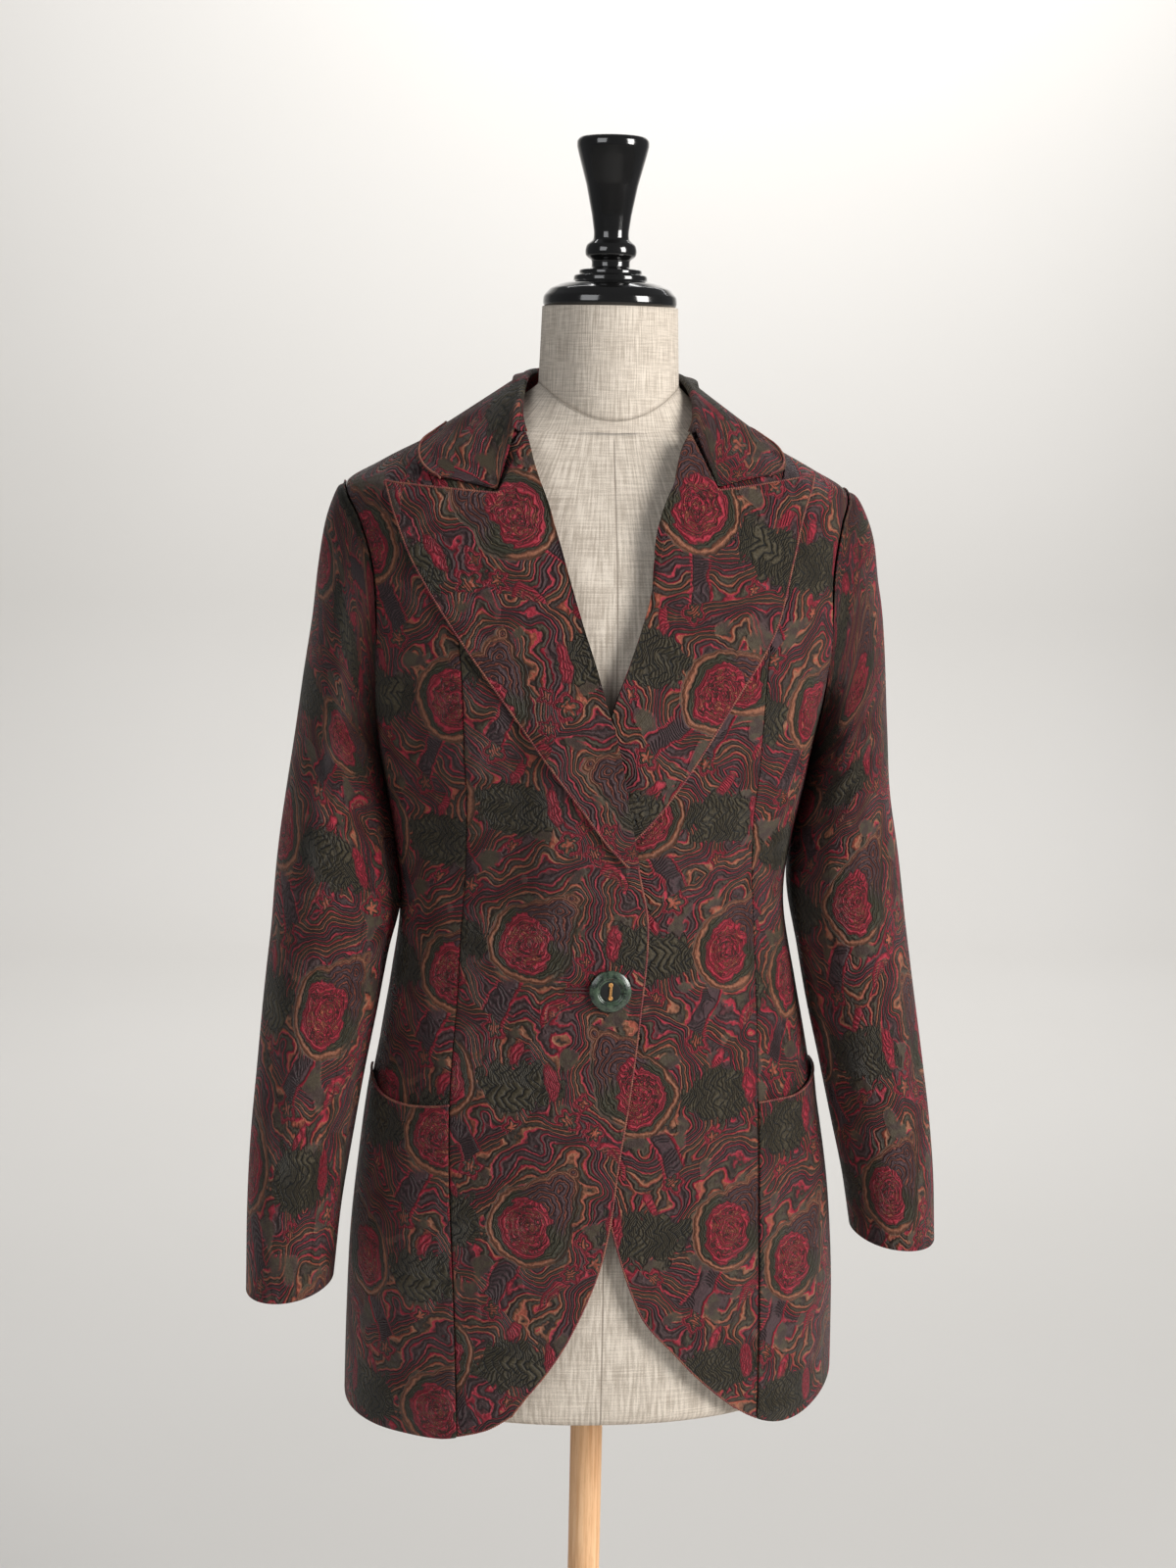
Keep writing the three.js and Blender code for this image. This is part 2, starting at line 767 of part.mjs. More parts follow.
function collarSection(side, along) {
  const sign = SIGN[side];
  const row = at(COLLAR_FOLD, along);
  const shift = at(BODY, Math.min(1400, row.z)).shift;
  const roll = new THREE.Vector3(shift - sign * row.x, row.y, row.z);
  const out = new THREE.Vector3(roll.x - shift, roll.y - 5, 0).normalize();
  const gorge = smooth(0.72, 1, along);
  const rim = onBody({ turn: sign * row.edgeTurn, z: row.edgeZ }, COLLAR_LIFT)
    .lerp(onBody(frontSpot(COLLAR_POINT[side].x, COLLAR_POINT[side].z), COLLAR_LIFT), gorge);
  const foot = onBody(necklineSpot(side, along), lerp(1.2, 2.2, gorge)).addScaledVector(out, -1.9);
  foot.z += 1.2;
  const crest = roll.clone().addScaledVector(out, 2.4);
  crest.z += 2.4;
  const outer = roll.clone().addScaledVector(out, 5);
  const points = [foot, foot.clone().lerp(roll, 0.5), roll, crest, outer];
  const falls = 5;
  const notch = onBody(frontSpot(NOTCH[side].x, NOTCH[side].z + 1), COLLAR_LIFT);
  const turned = 0.36;
  const bend = outer.clone().lerp(rim, turned);
  for (let step = 1; step <= falls; step += 1) {
    const share = step / falls;
    const point = outer.clone().lerp(rim, share);
    const weight = share < turned ? share / turned : (1 - share) / (1 - turned);
    point.addScaledVector(notch.clone().sub(bend), weight * gorge ** 2);
    points.push(keepOff(point, COLLAR_LIFT));
  }
  return points;
}

function collarPanel() {
  const grid = [];
  for (let step = -COLLAR_STEPS; step <= COLLAR_STEPS; step += 1) {
    const side = step < 0 ? 'right' : 'left';
    grid.push(collarSection(side, Math.abs(step) / COLLAR_STEPS));
  }
  return thicken(grid, 1.8, true);
}

// Solids lofted through rings, closed at both ends
function loft(rings) {
  const count = rings[0].length;
  const points = rings.flat();
  const faces = [];
  const centre = (ring) => ring
    .reduce((sum, point) => sum.add(point), new THREE.Vector3())
    .divideScalar(count);
  points.push(centre(rings[0]), centre(rings[rings.length - 1]));
  const bottom = points.length - 2;
  const top = points.length - 1;
  const last = (rings.length - 1) * count;
  for (let side = 0; side < count; side += 1) {
    const next = (side + 1) % count;
    for (let ring = 0; ring < rings.length - 1; ring += 1) {
      const low = ring * count;
      const high = low + count;
      faces.push(low + side, low + next, high + next, low + side, high + next, high + side);
    }
    faces.push(bottom, next, side, top, last + side, last + next);
  }
  const geometry = new THREE.BufferGeometry();
  const flat = points.flatMap((point) => [point.x, point.y, point.z]);
  geometry.setAttribute('position', new THREE.Float32BufferAttribute(flat, 3));
  geometry.setIndex(faces);
  geometry.computeVertexNormals();
  return geometry;
}

function formPoint(turn, z) {
  const { inset } = at(EASE, z);
  const ridge = Math.abs(Math.sin(radians(turn))) ** 120 * smooth(1290, 1330, z);
  return bodyPoint(turn, z, lerp(inset, RIDGE_INSET, ridge));
}

const RIDGE_INSET = 1.6;
const FORM_SIDES = 36;
const formTurns = Array.from({ length: FORM_SIDES }, (_, side) => (side * 360) / FORM_SIDES);

// The slanted seam where the neck meets the torso
function neckSeam(turn, rise) {
  const ahead = Math.max(0, Math.cos(radians(turn)));
  return new THREE.Vector3(
    NECK_RADIUS * Math.sin(radians(turn)),
    NECK_CENTRE - (NECK_RADIUS + 1) * Math.cos(radians(turn)),
    1408 - 26 * ahead ** 2 + rise,
  );
}

function torso() {
  const heights = [];
  for (let z = FORM_BOTTOM + 10; z < 1240; z += 42) heights.push(z);
  heights.push(1240, 1268, 1292, 1312, 1326, 1335, 1343, 1352, 1362, 1371);
  const foot = formTurns.map((turn) => bodyPoint(turn, FORM_BOTTOM, 22));
  const rings = [foot.map((point) => point.setZ(FORM_BOTTOM))];
  for (const z of heights) {
    rings.push(formTurns.map((turn) => formPoint(turn, z)));
  }
  for (const { share, drop } of [
    { share: 0.4, drop: 4 },
    { share: 0.75, drop: 3 },
    { share: 1, drop: 0 },
  ]) {
    rings.push(formTurns.map((turn) => {
      const point = formPoint(turn, 1374).lerp(neckSeam(turn, 0), share);
      return point.setZ(point.z - drop);
    }));
  }
  return loft(rings);
}

function neckBlock() {
  const rings = [0, 0.25, 0.5, 0.75, 1].map((share) => formTurns.map((turn) => {
    const top = new THREE.Vector3(
      (NECK_RADIUS - 2) * Math.sin(radians(turn)),
      NECK_CENTRE - (NECK_RADIUS - 2) * Math.cos(radians(turn)),
      NECK_TOP,
    );
    return neckSeam(turn, SEAM).lerp(top, share);
  }));
  return loft(rings);
}

// Turned pieces
function turned(profile, sides) {
  const geometry = new THREE.LatheGeometry(profile.map(([r, z]) => new THREE.Vector2(r, z)), sides);
  geometry.rotateX(Math.PI / 2);
  return geometry;
}

const CAP_PROFILE = [
  [0, NECK_TOP + SEAM],
  [48.5, NECK_TOP + SEAM],
  [49.5, NECK_TOP + 3],
  [49, NECK_TOP + 8],
  [27, NECK_TOP + 19],
  [27, NECK_TOP + 23],
  [23, NECK_TOP + 24],
  [23, NECK_TOP + 27],
  [14, NECK_TOP + 28.5],
  [14, NECK_TOP + 34],
  [18.5, NECK_TOP + 37],
  [19, NECK_TOP + 41],
  [18, NECK_TOP + 45],
  [13, NECK_TOP + 49],
  [14.5, NECK_TOP + 62],
  [19, NECK_TOP + 88],
  [26, NECK_TOP + 112],
  [26.5, NECK_TOP + 119],
  [24, NECK_TOP + 121.5],
  [0, NECK_TOP + 122],
];

const BASE_PROFILE = [
  [0, 0],
  [BASE_RADIUS, 0],
  [BASE_RADIUS + 2, 6],
  [BASE_RADIUS + 1, 14],
  [BASE_RADIUS - 6, BASE_HEIGHT - 2],
  [BASE_RADIUS - 14, BASE_HEIGHT],
  [0, BASE_HEIGHT],
];

// The button: a dished disc with a raised rim round a recess with two eyelets
const BUTTON_PROFILE = [
  [0, 0],
  [BUTTON_RADIUS - 2, 0],
  [BUTTON_RADIUS, 1.6],
  [BUTTON_RADIUS, 2.8],
  [BUTTON_RADIUS - 1.6, 3.6],
  [BUTTON_RADIUS - 4.2, BUTTON_THICKNESS],
  [9.6, BUTTON_THICKNESS - 0.2],
  [8.4, 3.0],
  [0, 2.8],
];

function button() {
  const spot = frontSpot(1, BUTTON_HEIGHT);
  const normal = bodyNormal(spot.turn, spot.z);
  const seat = onBody(spot, frontLift('right', spot) + CLOTH + SEAM);
  const geometry = turned(BUTTON_PROFILE, 28);
  geometry.applyQuaternion(
    new THREE.Quaternion().setFromUnitVectors(new THREE.Vector3(0, 0, 1), normal),
  );
  geometry.translate(seat.x, seat.y, seat.z);
  return geometry;
}

// The scene
const group = new THREE.Group();

function add(name, geometry, finish) {
  const material = new THREE.MeshStandardMaterial({ ...FINISHES[finish] });
  const mesh = new THREE.Mesh(geometry, material);
  mesh.name = name;
  group.add(mesh);
}

for (const side of ['right', 'left']) {
  add(`front_${side}`, frontPanel(side), 'brocade');
  add(`side_front_${side}`, sideFrontPanel(side), 'brocade');
  add(`pocket_${side}`, pocketPanel(side), 'brocade');
  add(`back_${side}`, backPanel(side), 'brocade');
  add(`lapel_${side}`, lapelPanel(side), 'brocade');
  add(`sleeve_upper_${side}`, sleevePanel(side, true), 'brocade');
  add(`sleeve_under_${side}`, sleevePanel(side, false), 'brocade');
}
add('collar', collarPanel(), 'brocade');
add('button', button(), 'horn');
add('dress_form_torso', torso(), 'linen');
add('dress_form_neck', neckBlock(), 'linen');
add('dress_form_cap', turned(CAP_PROFILE, 28), 'lacquer');
add('stand_pole', turned(
  [
    [0, BASE_HEIGHT + SEAM],
    [POLE_RADIUS, BASE_HEIGHT + SEAM],
    [POLE_RADIUS, FORM_BOTTOM - SEAM],
    [0, FORM_BOTTOM - SEAM],
  ],
  28,
), 'wood');
add('stand_base', turned(BASE_PROFILE, 42), 'wood');

export default group;
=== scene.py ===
"""Looks of a brocade blazer on a limbless linen dress form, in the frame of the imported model.

Lengths in the tables are millimetres, as in the pattern of the jacket. +Z is up, the front
faces -Y, and right and left are the wearer's.
"""

import math

import bpy
import numpy as np
from mathutils import Matrix, Vector


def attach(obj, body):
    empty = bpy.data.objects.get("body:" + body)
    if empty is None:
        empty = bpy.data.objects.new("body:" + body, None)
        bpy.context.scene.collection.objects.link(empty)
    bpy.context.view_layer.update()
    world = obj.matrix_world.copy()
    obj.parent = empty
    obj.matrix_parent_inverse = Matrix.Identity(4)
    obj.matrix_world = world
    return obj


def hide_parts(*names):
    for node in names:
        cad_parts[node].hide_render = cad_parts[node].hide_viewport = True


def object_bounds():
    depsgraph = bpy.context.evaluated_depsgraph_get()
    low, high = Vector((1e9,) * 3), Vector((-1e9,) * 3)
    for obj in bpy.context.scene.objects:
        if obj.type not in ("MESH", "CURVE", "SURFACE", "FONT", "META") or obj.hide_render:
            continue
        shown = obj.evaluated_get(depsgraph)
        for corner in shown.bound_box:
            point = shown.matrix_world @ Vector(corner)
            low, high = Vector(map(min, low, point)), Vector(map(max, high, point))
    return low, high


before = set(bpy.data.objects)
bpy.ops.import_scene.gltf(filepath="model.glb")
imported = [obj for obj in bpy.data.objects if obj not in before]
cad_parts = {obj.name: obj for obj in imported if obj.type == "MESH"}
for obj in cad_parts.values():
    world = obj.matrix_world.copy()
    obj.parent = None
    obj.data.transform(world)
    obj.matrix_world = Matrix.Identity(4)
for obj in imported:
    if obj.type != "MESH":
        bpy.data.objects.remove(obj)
CAD_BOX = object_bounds()

MM = 0.001
CLOTH = 2.0
SEAM = 0.3
LAYER = 0.5
HEM_SIDE = {"right": 619, "left": 646}
HEM_BACK = 634
UNDERARM = 1143
SHOULDER_POINT = 1333
SHOULDER_PRINCESS = 1362
SHOULDER_NECK = 1390
NECK_BACK = 1387
ARMHOLE_DEPTH = 72
BREAK_HEIGHT = 1072
GORGE = {"right": 1372, "left": 1374}
BUTTON_HEIGHT = 975
BUTTON_RADIUS = 15.3
FORM_BOTTOM = 637
NECK_TOP = 1464
NECK_RADIUS = 52
NECK_CENTRE = -3
POLE_RADIUS = 12.8
BASE_RADIUS = 205
BASE_HEIGHT = 24
RIDGE_INSET = 1.6
SEAM_TURN = 0.1
RIDGE_TURN = 0.3
SIGN = {"right": -1, "left": 1}
SIDES = ("right", "left")
FINENESS = 1.0


def table(names, rows):
    """A table whose rows are read by its first column."""
    data = np.array(rows, float)
    if data[0, 0] > data[-1, 0]:
        data = data[::-1]
    return {"names": names.split(), "along": data[:, 0], "values": data[:, 1:]}


# The jacket's inner surface, ring by ring
BODY = table("z half front back square shift", [
    [560, 191, 130, 120, 2.2, 0],
    [620, 190, 131, 121, 2.2, 0],
    [700, 188, 130, 120, 2.2, 0],
    [760, 184, 127, 118, 2.2, -1],
    [830, 176, 121, 113, 2.2, -1],
    [900, 165, 115, 105, 2.2, -1],
    [960, 154, 111, 96, 2.2, -2],
    [1020, 143, 110, 88, 2.25, -4],
    [1080, 148, 119, 88, 2.35, -4],
    [1140, 160, 130, 92, 2.5, -4],
    [1190, 171, 132, 98, 2.65, -4],
    [1235, 178, 126, 103, 2.75, -4],
    [1280, 183, 112, 102, 2.7, -5],
    [1310, 186, 98, 98, 2.6, -6],
    [1333, 184, 84, 92, 2.45, -7],
    [1347, 161, 76, 87, 2.3, -7],
    [1362, 133, 67, 80, 2.2, -7],
    [1377, 103, 60, 74, 2.1, -6],
    [1390, 80, 54, 69, 2.0, -4],
    [1405, 64, 50, 64, 2.0, -2],
])

# How far the form stands inside the jacket
EASE = table("z inset", [
    [620, 9],
    [830, 8],
    [1020, 13],
    [1140, 7],
    [1235, 4],
    [1310, 5.6],
    [1410, 5.6],
])

FRONT_EDGE = {
    "right": table("z x", [
        [652, -66],
        [668, -55],
        [688, -40],
        [715, -24],
        [757, -6],
        [798, 4],
        [845, 10],
        [892, 17],
        [955, 24],
        [1019, 28],
        [1068, 19],
        [1110, 11],
        [1159, 1],
        [1187, -8],
        [1214, -16],
        [1241, -25],
        [1267, -33],
        [1294, -41],
        [1320, -49],
        [1347, -57],
        [1372, -63],
        [1382, -71],
        [1390, -84],
    ]),
    "left": table("z x", [
        [652, 101],
        [668, 83],
        [685, 66],
        [702, 51],
        [718, 36],
        [733, 26],
        [764, 14],
        [801, 3],
        [840, -9],
        [880, -18],
        [930, -23],
        [1000, -24],
        [1068, -20],
        [1110, -17],
        [1150, -12],
        [1187, -2],
        [1214, 8],
        [1241, 17],
        [1268, 25],
        [1295, 32],
        [1335, 41],
        [1362, 48],
        [1374, 55],
        [1382, 65],
        [1390, 76],
    ]),
}

PRINCESS = {
    "right": table("z x", [
        [600, -105],
        [727, -109],
        [823, -113],
        [885, -113],
        [981, -107],
        [1081, -103],
        [1169, -106],
        [1250, -113],
        [1320, -125],
        [1350, -135],
        [1362, -140],
    ]),
    "left": table("z x", [
        [600, 119],
        [689, 119],
        [788, 117],
        [887, 115],
        [1001, 110],
        [1081, 104],
        [1169, 105],
        [1250, 112],
        [1320, 119],
        [1350, 124],
        [1362, 126],
    ]),
}

HEM = {
    "right": table("x z", [
        [-195, HEM_SIDE["right"]],
        [-152, 624],
        [-118, 627],
        [-104, 631],
        [-84, 639],
        [-66, 652],
    ]),
    "left": table("x z", [
        [101, 652],
        [119, 639],
        [136, 632],
        [155, 631],
        [176, 637],
        [195, HEM_SIDE["left"]],
    ]),
}

POCKET_MOUTH = {
    "right": table("x z", [
        [-172, 889],
        [-160, 880],
        [-145, 878],
        [-128, 881],
        [-112, 885],
    ]),
    "left": table("x z", [
        [113, 885],
        [128, 886],
        [145, 885],
        [160, 888],
        [172, 896],
    ]),
}

LAPEL_EDGE = {
    "right": table("z x", [
        [1072, 10],
        [1090, -6],
        [1115, -24],
        [1178, -72],
        [1240, -117],
        [1281, -142],
        [1310, -154],
        [1334, -162],
    ]),
    "left": table("z x", [
        [1072, -12],
        [1090, 16],
        [1128, 46],
        [1190, 84],
        [1236, 112],
        [1287, 127],
        [1318, 136],
        [1342, 148],
    ]),
}
PEAK = {"right": (-162, 1334), "left": (148, 1342)}
NOTCH = {"right": (-84, 1330), "left": (73, 1334)}
COLLAR_POINT = {"right": (-126, 1338), "left": (114, 1343)}

SLEEVE = {
    "right": table("row innerX innerZ outerX outerZ middle depth", [
        [0, 168.0, 1143, 193, 1335, -2, 72],
        [1, 168.4, 1141, 199, 1327, -2, 72],
        [2, 168.0, 1138, 206.5, 1306, -3, 71],
        [3, 167.0, 1133, 212.5, 1272, -4, 70],
        [4, 165.6, 1125, 217, 1236, -5, 69],
        [5, 163.0, 1112, 223, 1196, -7, 67],
        [6, 159.6, 1092, 229, 1154, -9, 65],
        [7, 155.0, 1060, 236, 1108, -12, 63],
        [8, 151.8, 1022, 243, 1057, -15, 61],
        [9, 161.0, 983, 248, 1004, -19, 58],
        [10, 169.5, 936, 253, 952, -23, 56],
        [11, 179.0, 889, 258, 898, -28, 53],
        [12, 188.0, 837, 263, 843, -33, 50],
        [13, 196.5, 784, 266, 784, -37, 48],
        [14, 202.0, 731, 267, 721, -40, 46],
    ]),
    "left": table("row innerX innerZ outerX outerZ middle depth", [
        [0, 160.0, 1143, 179, 1335, -2, 72],
        [1, 160.4, 1141, 188, 1327, -2, 72],
        [2, 160.0, 1138, 198, 1304, -3, 71],
        [3, 158.8, 1133, 204, 1270, -4, 70],
        [4, 157.2, 1125, 209.5, 1233, -5, 69],
        [5, 154.8, 1112, 213, 1193, -6, 67],
        [6, 151.6, 1092, 216, 1151, -8, 65],
        [7, 147.4, 1060, 220, 1107, -9, 63],
        [8, 147.4, 1026, 228, 1060, -11, 61],
        [9, 156.0, 984, 236, 1007, -14, 58],
        [10, 165.0, 938, 244, 954, -17, 56],
        [11, 176.0, 891, 252, 902, -21, 53],
        [12, 186.0, 847, 259, 854, -25, 50],
        [13, 196.0, 803, 264, 806, -28, 48],
        [14, 203.5, 761, 267, 756, -30, 46],
    ]),
}
SLEEVE_SEAM = 118

COLLAR_FOLD = table("along x y z edgeTurn edgeZ", [
    [0, 0, 64, 1417, 180, 1360],
    [0.18, -24, 58, 1418, 152, 1362],
    [0.36, -44, 40, 1417, 120, 1367],
    [0.52, -54, 16, 1415, 90, 1372],
    [0.66, -58, -8, 1410, 76, 1367],
    [0.78, -61, -26, 1402, 70, 1359],
    [0.9, -63, -44, 1389, 66, 1348],
    [1, -63, -58, 1374.5, 63, 1338],
])
COLLAR_SHOULDER = 0.52
COLLAR_LIFT = CLOTH + 2.4

# Soft folds of the body: a line from (x, z) to (x, z), how wide it is on each side of its
# crest, and how high it stands off the body
BODY_FOLDS = {
    "right": [
        [-150, 1215, -128, 1010, 16, 9, 5.5],
        [-126, 1030, -120, 900, 18, 12, 3.2],
        [-168, 1130, -146, 1000, 12, 16, 4.0],
        [-40, 985, -100, 1010, 9, 14, 1.8],
        [-30, 950, -96, 930, 10, 16, 1.5],
        [-90, 1200, -96, 1130, 22, 16, 2.6],
        [-160, 860, -150, 640, 20, 16, 4.0],
        [-60, 860, -52, 690, 26, 18, 2.2],
        [-110, 1330, -142, 1240, 12, 10, 2.4],
    ],
    "left": [
        [150, 1235, 128, 1075, 14, 10, 4.2],
        [128, 1060, 122, 930, 16, 12, 2.6],
        [164, 1130, 148, 1010, 14, 12, 3.2],
        [40, 985, 98, 1012, 12, 9, 1.6],
        [46, 950, 100, 925, 15, 10, 1.5],
        [100, 1190, 104, 1120, 16, 20, 2.4],
        [160, 850, 152, 660, 16, 20, 3.4],
        [66, 850, 78, 690, 18, 26, 2.4],
        [112, 1325, 138, 1250, 10, 12, 2.0],
    ],
}
BACK_FOLDS = {
    "right": [
        [-126, 1210, -112, 1040, 18, 12, 4.0],
        [-60, 1040, -110, 985, 12, 16, 2.2],
        [-80, 960, -72, 680, 26, 20, 3.0],
        [-146, 880, -140, 660, 16, 20, 3.4],
        [-40, 1290, -96, 1240, 14, 18, 1.8],
    ],
    "left": [
        [124, 1200, 110, 1050, 14, 16, 3.6],
        [56, 1035, 108, 975, 14, 12, 2.2],
        [84, 940, 80, 690, 22, 24, 2.8],
        [144, 890, 136, 680, 20, 16, 3.0],
        [44, 1285, 92, 1230, 16, 14, 1.8],
    ],
}

# Folds of a sleeve: from (angle, millimetres down) to the same, widths and height. The angle is
# 0 along the outside, 90 along the front and 180 by the body
SLEEVE_FOLDS = {
    "right": [
        [150, 150, 40, 235, 10, 16, 3.2],
        [165, 235, 70, 262, 9, 13, 3.4],
        [150, 300, 50, 268, 10, 14, 2.8],
        [200, 250, 300, 300, 10, 15, 3.0],
        [120, 345, 20, 400, 12, 17, 2.2],
        [60, 30, 20, 120, 16, 12, 2.4],
        [30, 420, 70, 560, 20, 14, 2.0],
        [-20, 40, -60, 150, 16, 12, 2.4],
        [230, 420, 300, 520, 14, 18, 2.4],
    ],
    "left": [
        [155, 160, 45, 225, 10, 15, 3.4],
        [160, 225, 60, 258, 8, 13, 3.6],
        [165, 290, 70, 262, 10, 13, 3.0],
        [210, 240, 290, 310, 12, 14, 2.8],
        [110, 330, 30, 390, 12, 18, 2.4],
        [50, 35, 25, 130, 14, 12, 2.0],
        [40, 400, 60, 540, 18, 14, 2.2],
        [-30, 50, -50, 160, 14, 14, 2.2],
        [220, 400, 290, 500, 16, 16, 2.4],
    ],
}


def at(source, where):
    """Columns of a table at one place or many, smooth through every row."""
    along, values = source["along"], source["values"]
    where = np.asarray(where, float)
    row = np.clip(np.searchsorted(along, where, side="left") - 1, 0, len(along) - 2)
    span = (along[row + 1] - along[row])[..., None]
    share = np.clip((where - along[row]) / span[..., 0], 0, 1)[..., None]
    before = np.maximum(0, np.arange(len(along)) - 1)
    after = np.minimum(len(along) - 1, np.arange(len(along)) + 1)
    slopes = (values[after] - values[before]) / (along[after] - along[before])[:, None]
    square, cube = share ** 2, share ** 3
    found = (
        values[row] * (2 * cube - 3 * square + 1)
        + slopes[row] * span * (cube - 2 * square + share)
        + values[row + 1] * (3 * square - 2 * cube)
        + slopes[row + 1] * span * (cube - square)
    )
    return {name: found[..., k] for k, name in enumerate(source["names"][1:])}


def lerp(low, high, share):
    return low + (high - low) * share


def smooth(low, high, value):
    share = np.clip((np.asarray(value, float) - low) / (high - low), 0, 1)
    return share * share * (3 - 2 * share)


def unit(vectors):
    return vectors / np.maximum(np.linalg.norm(vectors, axis=-1, keepdims=True), 1e-9)


def body_point(turn, z, inset=0.0):
    ring = at(BODY, z)
    sine, cosine = np.sin(np.radians(turn)), np.cos(np.radians(turn))
    square = ring["square"]
    reach = (np.abs(sine) ** square + np.abs(cosine) ** square) ** (-1 / square)
    depth = np.where(cosine > 0, ring["front"], ring["back"])
    x = ring["shift"] + (ring["half"] - inset) * sine * reach
    y = -(depth - inset) * cosine * reach
    return np.stack([x, y, np.broadcast_to(z, x.shape).astype(float)], axis=-1)


def body_normal(turn, z):
    along = body_point(turn + 0.5, z) - body_point(turn - 0.5, z)
    rise = body_point(turn, z + 0.5) - body_point(turn, z - 0.5)
    return unit(np.cross(along, rise))


def on_body(spot, lift):
    turn, z = (np.asarray(part, float) for part in spot)
    turn, z = np.broadcast_arrays(turn, z)
    return body_point(turn, z) + body_normal(turn, z) * np.asarray(lift, float)[..., None]


def front_turn(x, z):
    ring = at(BODY, z)
    across = np.minimum(1, np.abs(x - ring["shift"]) / ring["half"])
    deep = (1 - across ** ring["square"]) ** (1 / ring["square"])
    return np.degrees(np.arctan2(across, deep)) * np.sign(x - ring["shift"])


def front_spot(x, z):
    x, z = np.broadcast_arrays(np.asarray(x, float), np.asarray(z, float))
    return front_turn(x, z), z


def off_body(points):
    def share(p):
        ring = at(BODY, p[..., 2])
        wide = np.abs(p[..., 0] - ring["shift"]) / ring["half"]
        deep = np.abs(p[..., 1]) / np.where(p[..., 1] < 0, ring["front"], ring["back"])
        return (wide ** ring["square"] + deep ** ring["square"]) ** (1 / ring["square"])

    slope = np.stack([share(points + step) - share(points - step) for step in np.eye(3) * 0.5], -1)
    steep = np.linalg.norm(slope, axis=-1)
    return (share(points) - 1) / steep, slope / steep[..., None]


def keep_off(points, lift):
    for _ in range(3):
        found, way = off_body(points)
        points = points + way * np.maximum(0, lift - found)[..., None]
    return points


# Arc length round each ring of the body from its centre front, for the run of the pattern
TURNS = np.linspace(-180, 180, 361)
LEVELS = np.arange(560, 1410, 10.0)


def _arcs():
    rings = body_point(*np.meshgrid(TURNS, LEVELS))
    steps = np.linalg.norm(np.diff(rings[..., :2], axis=1), axis=-1)
    length = np.concatenate([np.zeros((len(LEVELS), 1)), np.cumsum(steps, axis=1)], axis=1)
    return length - length[:, 180:181]


ARCS = _arcs()


def arc(turn, z):
    """Millimetres of cloth from the centre front to a turn, at a height."""
    column = np.clip((np.asarray(turn, float) + 180), 0, 359.999)
    row = np.clip((np.asarray(z, float) - LEVELS[0]) / 10.0, 0, len(LEVELS) - 1.001)
    c, r = column.astype(int), row.astype(int)
    c1 = np.minimum(c + 1, 360)
    fc, fr = column - c, row - r
    low = ARCS[r, c] * (1 - fc) + ARCS[r, c1] * fc
    high = ARCS[r + 1, c] * (1 - fc) + ARCS[r + 1, c1] * fc
    return low * (1 - fr) + high * fr


def fold_lift(across, down, folds):
    """Height of a set of folds over a flat of two measures in millimetres."""
    lift = np.zeros(np.broadcast(across, down).shape)
    for x0, z0, x1, z1, near, far, height in folds:
        run = np.array([x1 - x0, z1 - z0], float)
        length = np.hypot(*run)
        run /= length
        along = (across - x0) * run[0] + (down - z0) * run[1]
        side = (across - x0) * -run[1] + (down - z0) * run[0]
        side = side + 0.06 * length * np.sin(along / length * 3.6 + x0)
        width = np.where(side < 0, near, far)
        ends = smooth(-0.3, 0.35, along / length) * (1 - smooth(0.65, 1.3, along / length))
        lift = lift + height * np.exp(-((side / width) ** 2)) * ends
    return lift


# Shares along a panel's side, closer together near both ends, where its edge turns in
def shares(length, cell=3.0, rim=(0.0, 0.35, 0.9, 1.7, 2.8)):
    count = max(3, int(length / (cell * FINENESS)))
    inner = np.linspace(rim[-1], length - rim[-1], count + 1)
    return np.concatenate([rim[:-1], inner, length - np.array(rim[:-1])[::-1]]) / length


def rim_drop(share, length, turn_in=1.0, reach=2.4):
    """How far a sewn or folded edge rolls in, near either end."""
    near = np.minimum(share, 1 - share) * length
    left = np.clip(1 - near / reach, 0, 1)
    return turn_in * (1 - np.sqrt(1 - left ** 2))


def blend(borders, across, up):
    start, end, bottom, top = borders
    zero, one = np.zeros(1), np.ones(1)
    spot = []
    for key in (0, 1):
        sides = lerp(start(up)[key], end(up)[key], across)
        ends = lerp(bottom(across)[key], top(across)[key], up)
        low = lerp(start(zero)[key], end(zero)[key], across)
        high = lerp(start(one)[key], end(one)[key], across)
        spot.append(sides + ends - lerp(low, high, up))
    return spot


def inward(borders, seam_turn, top_turn):
    def spot_at(across, up):
        turn, z = blend(borders, across, up)
        edge = np.where(across <= 0, 1.0, 0.0) - np.where(across >= 1, 1.0, 0.0)
        turn = turn + edge * seam_turn + np.where(up >= 1, top_turn(across), 0.0)
        return turn, z

    return spot_at


def front_lift(side, spot):
    turn, z = spot
    if side == "left":
        return np.zeros(np.shape(turn))
    x = body_point(turn, z)[..., 0]
    over = smooth(-72, -38, x) * smooth(742, 790, z) * (1 - smooth(1180, 1240, z))
    return over * lerp(CLOTH + LAYER + 0.5, 2 * (CLOTH + LAYER) + 2.2, smooth(1010, 1050, z))


SIDE_ROWS = 14
PANEL_ROWS = 24
ARM_SHARE = SIDE_ROWS / PANEL_ROWS


